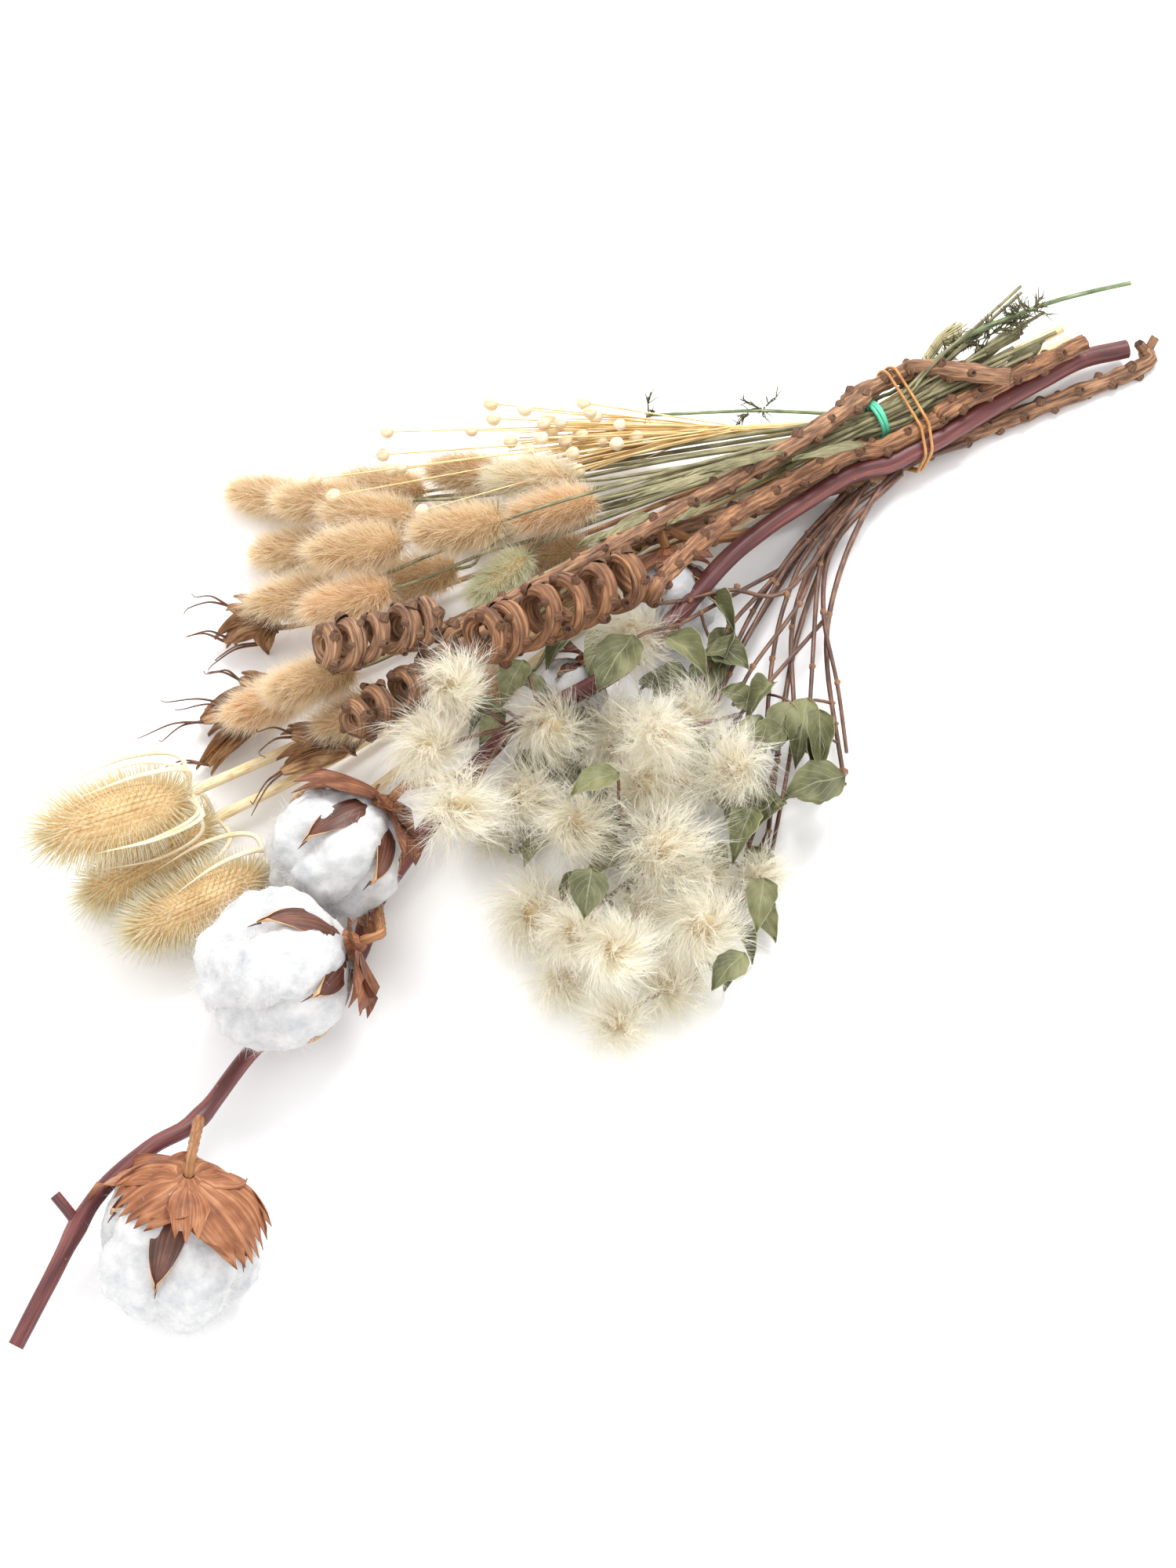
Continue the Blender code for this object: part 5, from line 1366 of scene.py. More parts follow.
def dress_tail_stems(paths):
    """Grass stems with faint ribs, more of them side by side in the band, and torn sheath leaves."""
    form = Form()
    draw = random.Random(17)
    for path in paths[1:]:
        before = path[0] - (path[1] - path[0]).normalized() * 6 * MM
        fine = soften(curve_through([before] + path, 5 * MM))
        add_tube(form, fine, taper(fine, 0.85, TAIL_STEM), 10, ribs, 0)
    middle = (paths[0][0] + paths[0][1]) / 2
    for number in range(BAND_GRASS):
        angle, offset, out = in_sheaf(number, BAND_GRASS, 5.4)
        spread = (ACROSS * math.cos(angle) + Vector((0, 0, 0.6)) * math.sin(angle)) * out
        back, front = draw.uniform(30, 62), draw.uniform(26, 70)
        line = [middle + offset * 1.3 + spread * MM * 0.8 - ALONG * (TIE_REACH + back) * MM,
                middle + offset - ALONG * TIE_REACH * MM, middle + offset + ALONG * TIE_STRAIGHT * MM]
        aside = spread * MM * draw.uniform(0.8, 1.8)
        line.append(middle + offset + aside + ALONG * (TIE_STRAIGHT + front) * MM)
        thick = draw.uniform(0.9, 1.3) * MM
        add_tube(form, curve_through(line, 6 * MM), thick, 8, ribs, int(number % 3 == 0))
    for place in LOOSE_ENDS:
        start = middle + scatter(draw, (-3, 3), (-3, 3), (0, 5)) * MM
        end = spot(*place)
        line = [start - ALONG * 20 * MM, start, start.lerp(end, 0.5) + rise(3), end]
        add_tube(form, curve_through(line, 8 * MM), draw.uniform(0.6, 1.0) * MM, 7, ribs, 0)
    for start, end, wide, seed in SHEATHS:
        add_blade(form, spot(*start), spot(*end), wide * 0.8, seed, 0.5 * MM, (0, 0))
    form.build("grass_stalks", ["grass_green", "grass_pale"], ["bunny_tail_stems"])


def ribs(angle, run):
    return 1 + 0.05 * np.sin(5 * angle + 0.2 * run) + 0.02 * np.sin(3 * run)


def add_blade(form, base, tip, half_width, seed, thick, skins, curl=0.0, rows=16, cols=9):
    """A pointed leaf with a folded rib, waved edges and a drooping tip."""
    draw = random.Random(seed)
    axis = tip - base
    side = axis.cross(Vector((0, 0, 1))).normalized()
    up = side.cross(axis).normalized()
    wave = draw.uniform(0.5, 2.0)
    twist = draw.uniform(-0.25, 0.25)
    base, axis, side, up = (np.array(part) for part in (base, axis, side, up))

    def shape(along, across):
        width = np.maximum(half_width * MM * np.sin(math.pi * along ** 0.75) ** 0.9, 0.3 * MM)
        width = width * (1 + 0.05 * np.sin(23 * along + 2 * seed))
        lift = 3 * MM * np.sin(math.pi * along) ** 2 + curl * MM * across ** 2 * np.sin(math.pi * along)
        lift += np.abs(across) * 2.0 * MM * np.sin(wave + 7 * along) * np.minimum(1.0, 3 * along)
        lift += 0.5 * MM * np.sin(17 * along + 5 * across)
        lift += 0.35 * MM * curl * np.abs(across) * np.sin(math.pi * along)
        lift -= 0.10 * MM * curl * along ** 4 * 10
        hold = 1 - 0.035 * abs(curl)
        return (base + axis * along[..., None] + side * (across * width * hold)[..., None]
                + up * (lift + across * twist * width)[..., None])
    add_sheet(form, shape, rows, cols, thick, *skins)


# Spiral stems

FORKED_COIL = 2
COIL_LEAN = 0.62
# A leaf scar's rim: heights above the bark and radii, in millimetres
SCAR_RIM = [(-1.0, 3.1), (0.5, 2.6), (1.9, 2.1), (2.4, 1.7), (2.2, 1.3)]


def place_coil(index, heap):
    front_pixel, back_pixel, radius, turns, places, cut_places, thick = COILS[index]
    name = f"coil_stem_{index + 1}"
    front, back = lay(heap, front_pixel, back_pixel, radius, tilt=2.0)
    axis = (back - front).normalized()
    side = axis.cross(Vector((0, 0, 1))).normalized()
    up = side.cross(axis)
    total = round(turns * POINTS_PER_TURN)
    ring = (radius - STRAND) * MM
    fine = 5
    facing = (-FORWARD + axis * FORWARD.dot(axis)).normalized()

    def wind(step, loose=0.0):
        """A point of the coil, its ring leaning to the viewer and out of true where it is loose."""
        angle = 2 * math.pi * step / POINTS_PER_TURN
        size = ring * (1 + 0.06 * loose * math.sin(0.31 * angle + 2 * index))
        around = side * math.cos(angle) * size + up * math.sin(angle) * size
        shift = COIL_LEAN * around.dot(facing) + 1.8 * MM * math.sin(0.43 * angle + index)
        return front.lerp(back, step / total) + around + axis * shift * loose, around
    last = wind(total)[0]
    outer = curve_through([last] + spots(places) + through_tie(name) + spots(cut_places), 11 * MM)
    outer = clear_path(outer, thick * MM, heap[:-1], 2.4, 1.3, 2)
    add_rods(heap, outer, thick * MM)
    steps = total * fine
    wound = [wind(step / fine, min(1.0, 6 - 6 * step / steps)) for step in range(steps + 1)]
    return [point for point, _ in wound], [ray for _, ray in wound], outer, thick


def dress_coil(index, coil, rays, outer, thick):
    """Ridged bark with dark grooves, flattened where it winds, and peg-like leaf scars."""
    form = Form()
    tail = curve_through([coil[-1]] + outer[1:], 2.5 * MM)
    path = coil + tail[1:]
    seed = index + 1
    count = len(path)
    radii = []
    for number in range(count):
        share = min(1.0, max(0.0, (number - len(coil)) / 12))
        base = STRAND + (thick - STRAND) * share
        knob = 0.08 * math.sin(number * 0.55 + seed) + 0.05 * math.sin(number * 1.31)
        start = 0.7 + 0.3 * min(1.0, number / 5)
        radii.append(base * (1 + knob * (0.4 + 0.6 * share)) * start * MM)
    wound = sum((one - two).length for one, two in zip(coil, coil[1:])) * 100

    def relief(angle, run):
        flat = np.clip((wound - run) / 2, 0, 1)
        wide, tall = np.cos(angle) / (1 - 0.16 * flat), np.sin(angle) / (1 + 0.10 * flat)
        oval = (wide ** 2 + tall ** 2) ** -0.5
        twist = 4.5 * angle + 0.5 * np.sin(0.7 * run + seed) + 0.16 * run * (1 - flat)
        small = np.abs(np.sin(9.5 * angle + 0.8 * np.sin(1.9 * run)))
        lumps = 0.035 * np.sin(3.1 * run + 1.5 * angle) + 0.03 * np.sin(7 * run + 2 * angle)
        return oval * (0.84 + 0.21 * np.abs(np.sin(twist)) ** 0.6 + 0.06 * small + lumps)
    rays = [np.array(ray.normalized()) for ray in rays]
    add_tube(form, path, radii, 36, relief, 0, 1, rays=rays)
    points = spaced(path)
    side, other = frames(points, rays)
    draw = random.Random(50 + index)
    number = 2
    angle = 0.5
    while number < count - 3:
        turn = angle if number >= len(coil) else 1.5 * math.sin(angle)
        way = Vector(side[number]) * math.cos(turn) + Vector(other[number]) * math.sin(turn)
        size = draw.uniform(0.75, 1.2)
        rim = [(height, wide * size) for height, wide in SCAR_RIM]
        cup = [rim[-1], (1.3, 0.7 * size), (1.2, 0.05)]
        lean = (way + (points_way(points, number)) * 0.5).normalized()
        root = path[number] + way * radii[number] * 0.92
        add_lathe(form, root, lean, rim, 10, 2)
        # The cup inside the rim takes the scar skin: partly painted shade in the hollow.
        add_lathe(form, root, lean, cup, 10, 1)
        number += draw.randint(3, 6) if number < len(coil) else draw.randint(2, 3)
        angle += 2.4
    if index == FORKED_COIL:
        for tip in ((1474, 430, 9), (1452, 438, 12)):
            prong = [path[-1], path[-1].lerp(spot(*tip), 0.6), spot(*tip)]
            add_tube(form, curve_through(prong, 2 * MM), 2.4 * MM, 14, relief, 0, 1)
    skins = [f"coil_bark_{seed}", f"coil_scar_{seed}", f"coil_peg_{seed}"]
    form.build(f"spiral_{seed}", skins, [f"coil_stem_{seed}"])


def points_way(points, number):
    return Vector(points[number + 1] - points[number - 1]).normalized()


# Horned pods

POD_VALVES = 4


def place_pods(index, heap):
    slot = f"pods_{index + 1}"
    places, follicles = PODS[index]
    path = curve_through(spots(places) + through_tie(slot) + [cut_end(slot, 60)], 11 * MM)
    path = clear_path(path, POD_STEM * MM, heap, 2.4, 1.5, 2)
    add_rods(heap, path, POD_STEM * MM)
    for places_of in follicles:
        base, tip, _ = spots(places_of)
        heap.append((base, tip, POD_ROOM * MM))
    return path


def dress_pods(index, path):
    """Papery ribbed follicles with an open seam and thin curled horns."""
    form = Form()
    draw = random.Random(90 + index)
    add_tube(form, curve_through(path, 5 * MM), POD_STEM * MM, 10, ribs, 0)
    for places in PODS[index][1]:
        base, tip, horn_end = spots(places)
        bow = Vector((0, 0, 5 * MM))
        for valve in range(POD_VALVES):
            aside = scatter(draw, (-7, 7), (-7, 7), (-2, 5)) * MM
            root, half_width = base.lerp(tip, -0.2) + aside * 0.15, draw.uniform(4.4, 6.2)
            add_blade(form, root, tip + aside, half_width, 31 * index + 7 * valve, 0.3 * MM, (2, 3),
                      draw.uniform(5, 9), 12, 9)
        for turn in range(2):
            shift = scatter(draw, (-2, 2), (-2, 2), (0, 2)) * MM * turn
            line = [base, base.lerp(tip, 0.35) + bow * 0.4 + shift * 0.6,
                    base.lerp(tip, 0.7) + bow * 0.4 + shift, tip + shift]
            fine = curve_through(line, 1.6 * MM)
            total = len(fine) - 1
            wide = [(1.1 + 3.2 * math.sin(math.pi * min(1, 0.04 + 0.94 * at / total)) ** 0.8) * MM
                    for at in range(total + 1)]
            phase = draw.uniform(0, 6)
            add_tube(form, fine, wide, 20, lambda angle, run: follicle(angle + phase, run), 0)
            end = horn_end + scatter(draw, (-7, 7), (-7, 7), (0, 8)) * MM * turn
            hook = [tip + shift, (tip + shift).lerp(end, 0.5) + bow, end,
                    end + scatter(draw, (-4, 1), (-4, 4), (-1, 4)) * MM]
            horn = curve_through(hook, 1.8 * MM)
            thin = [(0.75 - 0.55 * at / len(horn)) * MM for at in range(len(horn))]
            add_tube(form, horn, thin, 6, None, 1)
    skins = ["pod_paper", "pod_horn", "pod_lining", "pod_back"]
    form.build(f"pods_{index + 1}", skins, [f"horned_pods_{index + 1}"])


def follicle(angle, run):
    """Flattened sides, a keel along the back and an open seam in front."""
    seam = np.exp(-((np.mod(angle, 2 * math.pi) - math.pi) / 0.22) ** 2)
    ridges = 0.03 * np.sin(9 * angle) + 0.02 * np.sin(4 * run)
    return 0.86 + 0.2 * np.abs(np.cos(angle)) - 0.38 * seam + ridges


# Flax and sprig

MORE_STRAWS = 70
MORE_CAPSULES = [
    (539, 651, 58), (426, 632, 52), (403, 611, 40), (700, 534, 34), (768, 561, 30), (722, 563, 34),
    (652, 563, 30), (812, 557, 30), (676, 574, 32), (760, 531, 40), (738, 600, 40), (694, 541, 42),
    (500, 600, 34),
]


def place_flax(heap):
    draw = random.Random(3)
    neck = spot(*FLAX_NECK)
    line = curve_through([neck] + through_tie("flax") + [cut_end("flax", 34, 1.5)], 14 * MM)
    sheaf = clear_path(line, 3 * MM, heap, 1.6, 1.0)
    neck = sheaf[0]
    straws = []
    for index, place in enumerate(CAPSULES + STRAW_ENDS):
        bare = index >= len(CAPSULES)
        end = spot(*place, draw.uniform(14, 26) if bare else draw.uniform(26, 52))
        root = neck + (ACROSS * draw.uniform(-1.2, 1.2) + Vector((0, 0, draw.uniform(-1.2, 1.2)))) * MM
        root += ALONG * 3 * MM
        middle = root.lerp(end, 0.6) + Vector((0, 0, draw.uniform(-4, 4) * MM))
        straw = curve_through([root, middle, end], 20 * MM)
        straws.append((clear_path(straw, STRAW * MM, heap, 2.4, 1.6, 1, False, not bare), bare))
        if not bare:
            heap.append((end, end, CAPSULE_RADIUS * MM))
    add_rods(heap, sheaf, 3.2 * MM)
    return sheaf, straws


def dress_flax(sheaf, straws):
    """Golden straws side by side, and capsules with five faint ribs and a point."""
    form = Form()
    draw = random.Random(23)
    for straw, bare in straws:
        add_tube(form, curve_through(straw, 8 * MM), 0.42 * MM, 6, None, 0)
        if not bare:
            add_capsule(form, straw[-1], (straw[-1] - straw[-2]).normalized(), draw)
    for number in range(MORE_STRAWS):
        _, offset, _ = in_sheaf(number, MORE_STRAWS, 2.7)
        end = spot(draw.uniform(650, 800), draw.uniform(538, 602), draw.uniform(14, 30))
        line = [end, end.lerp(sheaf[0], 0.5) + rise(draw.uniform(0, 5))]
        line += [point + offset for point in sheaf]
        past = [line.pop(), sheaf[-1] + offset * 2 + ALONG * draw.uniform(2, 16) * MM]
        past.insert(0, line[-1])
        thick = draw.uniform(0.35, 0.5) * MM
        add_tube(form, curve_through(line, 12 * MM), thick, 5, None, 2 * (number % 4 == 0))
        add_tube(form, curve_through(past, 12 * MM), thick, 5, None, 3)
    for place in MORE_CAPSULES:
        end = spot(*place)
        line = [sheaf[0], sheaf[0].lerp(end, 0.5) + rise(3), end]
        add_tube(form, curve_through(line, 12 * MM), 0.38 * MM, 5, None, 0)
        add_capsule(form, end, (end - line[1]).normalized(), draw)
    skins = ["gold_straw", "capsule_skin", "brown_straw", "faded_straw"]
    form.build("straw_spray", skins, ["flax_spray"])


def add_capsule(form, middle, way, draw):
    turn = np.array(way.to_track_quat("X", "Z").to_matrix())
    centre = np.array(middle)
    size = CAPSULE_RADIUS * draw.uniform(0.9, 1.08) * MM

    def reach(ways):
        around = np.arctan2(ways[:, 2], ways[:, 1])
        point = np.maximum(ways[:, 0], 0) ** 6 * 0.28
        out = 1 + 0.05 * np.abs(np.sin(2.5 * around)) * np.hypot(ways[:, 1], ways[:, 2]) + point
        return centre + (ways * out[:, None] * size) @ turn.T
    add_ball(form, 2, reach, 1)
    for number in range(5):
        angle = number * 2 * math.pi / 5
        side = Vector(turn @ np.array([0, math.cos(angle), math.sin(angle)]))
        foot = middle - way * size * 0.8 + side * size * 0.3
        sepal = [foot, foot + side * 1.5 * MM + way * 0.6 * MM, foot + side * 2.0 * MM + way * 2.6 * MM]
        add_tube(form, sepal, [0.5 * MM, 0.4 * MM, 0.08 * MM], 5, None, 1)


def place_sprig():
    route = spots([(824, 530, 16), (965, 524, 20)]) + through_tie("sprig")
    route += spots([(1235, 428, 40), (1322, 392, 44)])
    path = curve_through(route, 30 * MM)
    draw = random.Random(5)
    threads = []
    for middle, count in ((route[0], 4), (route[1], 6), (route[-1], 60)):
        for _ in range(count):
            root = middle + (ALONG * draw.uniform(-6, 6)) * MM
            if middle is route[-1]:
                root = path[-3].lerp(path[-1], draw.uniform(0.0, 0.98) ** 0.6)
            way = scatter(draw, (-1, 1), (-1, 1), (-0.5, 1)).normalized()
            threads.append((root, root + way * draw.uniform(5, 12) * MM))
    return path, threads


def dress_sprig(path, threads):
    form = Form()
    draw = random.Random(33)
    fine = curve_through(path, 6 * MM)
    add_tube(form, fine, taper(fine, 0.8, 1.2), 8, ribs, 1)
    end = [path[-2], path[-1], spot(1384, 374, 46), spot(1442, 361, 46)]
    add_tube(form, curve_through(end, 6 * MM), 1.2 * MM, 8, ribs, 1)
    for root, tip in threads:
        thread = [root, root.lerp(tip, 0.5) + rise(1.5), tip]
        add_tube(form, thread, [0.5 * MM, 0.4 * MM, 0.12 * MM], 5)
        for _ in range(6):
            start = root.lerp(tip, draw.uniform(0.15, 0.85))
            way = scatter(draw, (-1, 1), (-1, 1), (-0.4, 1)).normalized()
            way = (way + (tip - root).normalized()).normalized()
            end = start + way * draw.uniform(4, 9) * MM
            add_tube(form, [start, start.lerp(end, 0.5) + rise(0.6), end],
                     [0.34 * MM, 0.28 * MM, 0.08 * MM], 4)
    form.build("thread_sprig", ["dark_leaf", "dark_stalk"], ["green_sprig"])


# Clematis

PLUMES = 255
PLUME_HAIRS = 13
PLUME_REACH = 1.44
HEART_HAIRS = 120
# More heads between the others: the twig's number, and where its middle is
MORE_HEADS = [(8, (901, 1125, 22)), (6, (795, 925, 40)), (4, (880, 912, 34))]
# More leaves of each stem, as base, tip and half the width; and more thin stems
MORE_LEAVES = [
    [
        (1008, 895, 26, 985, 960, 20, 9), (1035, 935, 24, 1040, 990, 16, 6),
        (1012, 1012, 22, 1080, 1000, 20, 9), (985, 870, 22, 952, 912, 26, 8),
        (960, 900, 18, 918, 880, 30, 8), (1000, 1020, 14, 955, 1060, 18, 8),
    ],
    [
        (975, 1020, 16, 925, 1010, 34, 9), (985, 1010, 14, 938, 1050, 26, 8),
        (960, 1080, 12, 985, 1150, 10, 8), (960, 1140, 10, 990, 1200, 8, 7),
        (940, 1180, 12, 962, 1225, 8, 6), (985, 930, 16, 930, 940, 30, 8),
        (905, 1230, 12, 930, 1262, 6, 7), (930, 1100, 12, 890, 1090, 24, 8),
    ],
    [
        (930, 800, 26, 905, 870, 22, 9), (950, 830, 24, 895, 835, 34, 7),
        (880, 860, 24, 830, 895, 30, 9), (775, 790, 40, 752, 870, 34, 8),
        (735, 800, 34, 695, 850, 30, 8), (700, 880, 26, 650, 870, 34, 7),
        (760, 900, 26, 738, 968, 22, 9), (870, 920, 26, 900, 985, 30, 9),
        (700, 1050, 16, 668, 1100, 14, 9), (760, 1000, 18, 800, 1060, 22, 9),
        (800, 1080, 14, 748, 1120, 20, 9), (740, 1110, 14, 720, 1180, 14, 8),
        (850, 1120, 14, 905, 1060, 24, 9), (830, 1010, 20, 775, 1035, 26, 8),
        (660, 960, 24, 700, 1010, 26, 8), (870, 1170, 10, 925, 1150, 18, 8),
        (640, 905, 26, 612, 950, 30, 6), (905, 760, 34, 938, 800, 34, 6),
        (700, 985, 12, 760, 1000, 14, 10), (745, 1050, 8, 790, 1100, 8, 11),
        (690, 1060, 10, 650, 1090, 8, 9), (860, 1080, 8, 900, 1130, 8, 10),
        (905, 985, 10, 950, 1040, 10, 10), (780, 960, 10, 830, 930, 12, 9),
        (730, 960, 14, 700, 1010, 12, 9), (840, 1060, 8, 800, 1130, 8, 9),
    ],
]
MORE_VINES = [
    [[(1072, 660, 12), (1046, 720, 18), (1036, 850, 18), (1030, 960, 14)],
     [(1066, 690, 14), (1050, 780, 20), (1068, 870, 18), (1080, 960, 14)],
     [(1052, 700, 14), (1020, 770, 22), (960, 850, 24), (935, 900, 22)]],
    [[(1040, 690, 10), (1004, 760, 14), (985, 840, 14), (975, 960, 12)],
     [(1046, 700, 8), (1010, 800, 12), (1012, 930, 12), (985, 1085, 8)],
     [(1030, 690, 12), (990, 745, 18), (930, 860, 22), (900, 930, 20)]],
    [[(1030, 680, 12), (985, 740, 18), (930, 800, 26), (890, 880, 24)],
     [(1024, 690, 10), (960, 780, 16), (905, 900, 18), (860, 985, 14)],
     [(1003, 757, 30), (940, 748, 36), (880, 765, 40), (840, 770, 44)]],
]


def place_vine(index, heap):
    places, twigs, _ = VINES[index]
    name = f"clematis_{index + 1}"
    rods = []
    line = curve_through([cut_end(name, 12, 0)] + through_tie(name)[::-1] + spots(places), 12 * MM)
    main_path = clear_path(line, VINE_STEM * MM, heap, 2.6, 1.6)
    add_rods(rods, main_path, VINE_STEM * MM)
    ends = []
    grips = list(rods)
    paths = [main_path]
    for twig_places, _ in twigs:
        path = spots(twig_places)
        path[0] = nearest_root(rods, path[0])
        path = clear_path(curve_through(path, 12 * MM), TWIG * MM, heap, 2.6, 1.8, 1, False)
        paths.append(path)
        add_rods(rods, path, TWIG * MM)
        way = (path[-1] - path[-2]).normalized()
        add_rods(grips, path[:-1] + [path[-1] - way * 4 * MM], TWIG * MM)
        ends.append((path[-1], way))
    heap += rods
    return paths, rods, grips, ends


def place_stalks(end, heads, heap):
    """The forked stalk from a twig's end to its heads."""
    tip, way = end
    start = tip + way * GAP
    fork = start + way * 5 * MM
    own = [(middle, middle, radius) for middle, radius in heads]
    others = [rod for rod in heap if rod not in own]
    paths = []
    for order, (middle, radius) in enumerate(heads):
        path = curve_through([start.lerp(fork, 0.3 * order), fork, middle], 14 * MM)
        path = clear_path(path, TWIG * MM, others, 2.4, 1.8, 2, False)
        add_rods(heap, path, TWIG * MM)
        paths.append(path)
    return paths, fork


def place_petioles(rods, grips, places, heap):
    paths = []
    for base, tip, half_width in places:
        root = nearest_root(grips, base)
        own = rods + leaf_rods(base, tip, half_width)
        others = [rod for rod in heap if rod not in own]
        path = curve_through([base.lerp(tip, 0.2), base, root], 12 * MM)
        path = clear_path(path, MM, others, 2.0, 1.6, 2, False, True)
        add_rods(heap, path, MM)
        paths.append(path)
    return paths


def place_clematis(heap):
    grown = [place_vine(index, heap) for index in range(len(VINES))]
    twigs, ends = {}, {}
    for index, (_, parts, _) in enumerate(VINES):
        for order, (_, heads) in enumerate(parts):
            twigs[index, order] = heads
            ends[index, order] = grown[index][3][order]
    laid = lay_heads(twigs, heap)
    leaves = [[(*lay_leaf(heap, base, tip, width), width) for base, tip, width in VINES[index][2]]
              for index in range(len(VINES))]
    stalks = {key: place_stalks(ends[key], laid[key], heap) for key in sorted(laid)}
    petioles = [place_petioles(rods, grips, leaves[index], heap)
                for index, (_, rods, grips, _) in enumerate(grown)]
    return grown, laid, leaves, stalks, petioles


def add_plumes(form, middle, radius, seed):
    """A silky head: plumes that sweep round out of one heart, each of many fine straying hairs."""
    draw = np.random.default_rng(seed)
    centre = np.array(middle)
    out = unit(sunflower(PLUMES) + draw.normal(size=(PLUMES, 3)) * 0.15)
    pole = unit(draw.normal(size=3) + np.array([0, 0, 1.0]))
    swirl = unit(np.cross(pole, out) + draw.normal(size=out.shape) * 0.4)
    curl = swirl * draw.uniform(0.65, 1.45, (PLUMES, 1)) + np.array([0, 0, -0.12])
    long_ones = radius * PLUME_REACH * draw.uniform(0.70, 1.05, PLUMES)
    plume = np.repeat(np.arange(PLUMES), PLUME_HAIRS)
    start = draw.uniform(0.10, 0.85, len(plume)) ** 0.8
    line_way, line_curl, line_long = out[plume], curl[plume], long_ones[plume, None]
    part = start[:, None]
    roots = centre + line_long * (line_way * part * (1 - 0.34 * part) + line_curl * 0.5 * part ** 2)
    tangent = unit(line_way * (1 - 0.68 * part) + line_curl * part)
    flare = unit(np.cross(tangent, draw.normal(size=tangent.shape)))
    ways = unit(tangent + flare * draw.uniform(0.08, 0.5, part.shape))
    lengths = line_long[:, 0] * draw.uniform(0.28, 0.52, len(plume))
    bends = line_curl * 0.55 - line_way * 0.35 + draw.normal(size=tangent.shape) * 0.34
    span = start * 0.6, np.minimum(1, start + 0.35)
    add_strands(form, draw, roots, ways, lengths, bends, 0.22 * MM, 2, 0, span)
    roots = np.repeat(centre[None], HEART_HAIRS, 0)
    ways = unit(draw.normal(size=roots.shape))
    lengths = draw.uniform(3.0, 5.6, HEART_HAIRS) * MM
    bends = draw.normal(size=roots.shape) * 0.2
    add_strands(form, draw, roots, ways, lengths, bends, 0.8 * MM, 2, 1)

    def heart(ways):
        return centre + ways * (0.36 * radius * (1 + 0.25 * clouds(ways, 0.3, seed % 17)[:, None]))
    add_ball(form, 2, heart, 1)


def dress_heads(number, heads, stalks, fork):
    form = Form()
    for order, (middle, radius) in enumerate(heads):
        add_plumes(form, middle, radius, 300 + 10 * number + order)
        path = curve_through(stalks[order], 4 * MM)
        add_tube(form, path, (TWIG - 0.15) * MM, 8, ribs, 2)
    add_knuckle(form, fork, 1.9, 3)
    for order, (twig, place) in enumerate(MORE_HEADS):
        if twig == number:
            add_plumes(form, spot(*place), SILK_RADIUS * 0.95 * MM, 500 + order)
    skins = ["seed_plume", "seed_heart", "vine_bark", "vine_knuckle"]
    form.build(f"plumes_{number:02d}", skins, [f"clematis_heads_{number:02d}"])


def add_knuckle(form, middle, size, skin):
    """A small swollen joint."""
    centre = np.array(middle)

    def reach(ways):
        return centre + ways * (size * MM * (1 + 0.2 * np.sin(5 * ways[:, :1] + 3 * ways[:, 1:2])))
    add_ball(form, 2, reach, skin)


def dress_vine(index, grown, leaves, petioles):
    """The red-brown stem and twigs with their tan joints, and the veined leaves."""
    paths = grown[0]
    form = Form()
    for order, path in enumerate(paths):
        fine = soften(curve_through(path, 5 * MM))
        size = (TWIG, TWIG * 0.9) if order else (VINE_STEM, 1.2)
        radii = [radius * 0.92 for radius in taper(fine, *size)]
        add_tube(form, fine, radii, 12, ribs, 0)
        add_knuckle(form, path[0] if order else path[-1], size[0] * 1.35, 1)
    for path in petioles:
        add_tube(form, soften(curve_through(path, 5 * MM)), 0.85 * MM, 8, ribs, 0)
        add_knuckle(form, path[-1], 1.5, 1)
    for order, (base, tip, half_width) in enumerate(leaves):
        seed = 100 * index + order
        curl = 4.5 + 3.0 * math.sin(2 * seed)
        add_blade(form, base, tip, half_width, seed, 0.35 * MM, (2, 3), curl, 22, 13)
    for order, (*ends, half_width) in enumerate(MORE_LEAVES[index]):
        base, tip = spot(*ends[:3]), spot(*ends[3:])
        root = nearest_root(grown[1], base)
        seed = 500 + 100 * index + order
        curl = 5.0 + 4.0 * math.sin(3 * seed)
        add_blade(form, base, tip, half_width, seed, 0.35 * MM, (2, 3), curl, 20, 11)
        stalk = [base.lerp(tip, 0.1), base, base.lerp(root, 0.5) + rise(2), root]
        add_tube(form, curve_through(stalk, 5 * MM), 0.7 * MM, 6, None, 0)
    for places in MORE_VINES[index]:
        line = curve_through(through_tie(f"clematis_{index + 1}")[:2] + spots(places), 6 * MM)
        add_tube(form, soften(line), taper(line, 1.5, 1.0), 8, ribs, 0)
        for place in places[:-1]:
            add_knuckle(form, spot(*place), 1.6, 1)
    skins = ["vine_bark", "vine_knuckle", "leaf_top", "leaf_under"]
    form.build(f"leafy_vine_{index + 1}", skins, [f"clematis_stem_{index + 1}"])


# Rubber bands

# Each thicker stem's radius in the tie, in millimetres; the others are thin
TIED_RADII = {
    "coil_stem_1": 4.3, "coil_stem_2": 4.2, "coil_stem_3": 4.0, "cotton": 5.0, "tails": 7.8,
    "flax": 3.3, "teasel_1": 2.5, "teasel_2": 2.5, "teasel_3": 2.5, "sprig": 1.3,
}
THIN_RADIUS = 2.0
BAND_SLACK = 0.6
BAND_CORNERS = 24


def band_outline(discs):
    """The line of a band drawn tight round the stems' discs (across, height, radius)."""
    points = []
    for across, height, radius in discs:
        reach = radius + BAND + BAND_SLACK
        for step in range(BAND_CORNERS):
            angle = 2 * math.pi * step / BAND_CORNERS
            corner = across + reach * math.cos(angle), height + reach * math.sin(angle)
            points.append((round(corner[0], 3), round(corner[1], 3)))
    return hull(points)


def squarish(angle, run):
    """A rubber strand's section, a little wider than it is thick."""
    return 1 + 0.12 * np.cos(2 * angle) + 0 * run


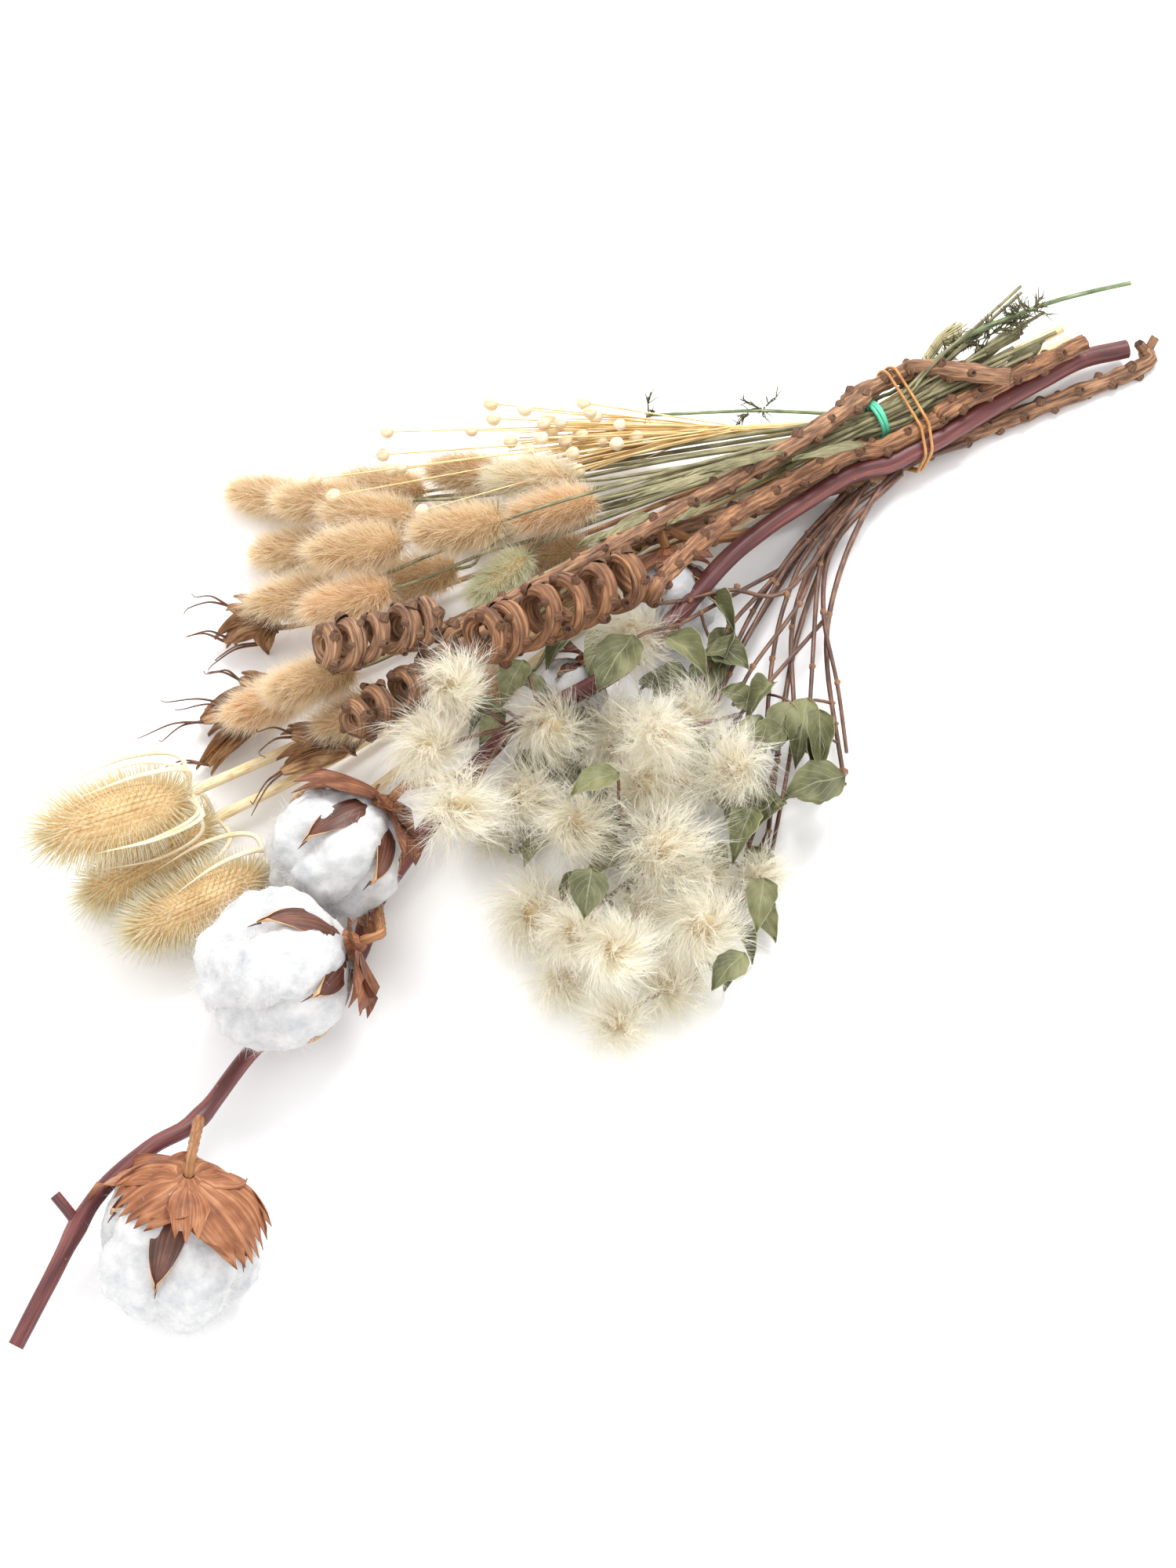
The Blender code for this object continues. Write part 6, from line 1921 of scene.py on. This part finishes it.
def dress_band(tone, discs, offset, step, wraps, slant):
    """A rubber band wound round the stems, each turn beside the last."""
    outline = band_outline(discs)
    middle = TIE + ALONG * offset * MM
    form = Form()
    tall = max(height for _, height in outline)
    for wrap in range(wraps):
        loop = []
        for number, (across, height) in enumerate(outline):
            shift = (wrap - (wraps - 1) / 2) * step * (0.4 + 0.6 * height / tall if slant else 1)
            lean = math.sin(2 * math.pi * number / len(outline) + 2.2 * wrap) * 0.5
            aside = shift + lean + slant * (height / tall - 0.5)
            loop.append(middle + (ACROSS * across + Vector((0, 0, height)) + ALONG * aside) * MM)
        ring = curve_through(loop + loop[:2], 2.5 * MM)
        add_tube(form, ring, BAND * 0.95 * MM, 10, squarish, 0, caps=False)
    form.build(f"{tone}_rubber_band", [f"{tone}_skin"], [f"{tone}_band"])


def dress_bands():
    """The tan band round all the stems, and the mint-green one round the grass alone."""
    every = [(*place, TIED_RADII.get(name, THIN_RADIUS)) for name, place in SLOTS.items()]
    dress_band("tan", every, 0.0, 4.0, 2, 14.0)
    dress_band("mint", [(*SLOTS["tails"], TIED_RADII["tails"] - 0.3)], MINT_OFFSET, 1.25, 3, 0.0)


# Floor, light and camera

WORLD_LIGHT = 1.2
KEY_POWER = 26.0
FILL_POWER = 8.0


def make_floor():
    bm = bmesh.new()
    bmesh.ops.create_grid(bm, x_segments=8, y_segments=8, size=4.0)
    mesh = bpy.data.meshes.new("floor")
    bm.to_mesh(mesh)
    bm.free()
    floor = bpy.data.objects.new("floor", mesh)
    bpy.context.scene.collection.objects.link(floor)
    skin = Skin("floor_paper", Roughness=0.9)
    tones = [(0.3, paint(247, 247, 248)), (0.7, paint(250, 250, 250))]
    skin.colour(skin.ramp(skin.cloud(skin.here, 3.0, 2.0), tones))
    mesh.materials.append(skin.material)


def make_light(name, place, aim, size, power):
    lamp = bpy.data.lights.new(name, "AREA")
    lamp.shape = "DISK"
    lamp.size = size
    lamp.energy = power
    holder = bpy.data.objects.new(name, lamp)
    bpy.context.scene.collection.objects.link(holder)
    holder.location = place
    holder.rotation_euler = (Vector(aim) - Vector(place)).to_track_quat("-Z", "Y").to_euler()


def make_studio():
    scene = bpy.context.scene
    world = bpy.data.worlds.new("studio")
    world.use_nodes = True
    world.node_tree.nodes["Background"].inputs[0].default_value = WHITE
    world.node_tree.nodes["Background"].inputs[1].default_value = WORLD_LIGHT
    scene.world = world
    scene.view_settings.view_transform = "Standard"
    away = RIGHT.cross(Vector((0, 0, -1)))
    key = AIM_POINT + away * 0.9 + RIGHT * 0.35 + Vector((0, 0, 1.5))
    fill = AIM_POINT - away * 1.1 - RIGHT * 0.9 + Vector((0, 0, 1.3))
    make_light("key", key, AIM_POINT, 0.9, KEY_POWER)
    make_light("fill", fill, AIM_POINT, 1.6, FILL_POWER)


def make_camera():
    lens = bpy.data.cameras.new("photo_view")
    lens.sensor_width = 36.0
    lens.lens = 36.0 * SIGHT_DISTANCE / FRAME_SPAN
    camera = bpy.data.objects.new("photo_view", lens)
    bpy.context.scene.collection.objects.link(camera)
    camera.location = AIM_POINT - FORWARD * SIGHT_DISTANCE
    camera.rotation_euler = FORWARD.to_track_quat("-Z", "Y").to_euler()
    bpy.context.scene.camera = camera


def main():
    make_floor()
    make_studio()
    make_camera()
    heap = []
    routes = place_cotton(heap)
    heads = place_teasels(heap)
    pods = [place_pods(index, heap) for index in range(len(PODS))]
    tail_ends = place_tails(heap)
    coils = {2: place_coil(2, heap)}
    grass = place_tail_stems(tail_ends, heap)
    coils[0] = place_coil(0, heap)
    coils[1] = place_coil(1, heap)
    sheaf, straws = place_flax(heap)
    path, threads = place_sprig()
    grown, laid, leaves, stalks, petioles = place_clematis(heap)

    dress_branch(routes)
    for index in range(len(BOLLS)):
        dress_lint(index)
        dress_bur(index)
    for index, placed in heads.items():
        dress_teasel(index, *placed)
    for index, (tip, base) in enumerate(tail_ends, 1):
        dress_tail(index, tip, base)
    dress_tail_stems(grass)
    for index, placed in coils.items():
        dress_coil(index, *placed)
    for index, placed in enumerate(pods):
        dress_pods(index, placed)
    dress_flax(sheaf, straws)
    dress_sprig(path, threads)
    for number, key in enumerate(sorted(laid), 1):
        dress_heads(number, laid[key], *stalks[key])
    for index in range(len(VINES)):
        dress_vine(index, grown[index], leaves[index], petioles[index])
    dress_bands()


main()
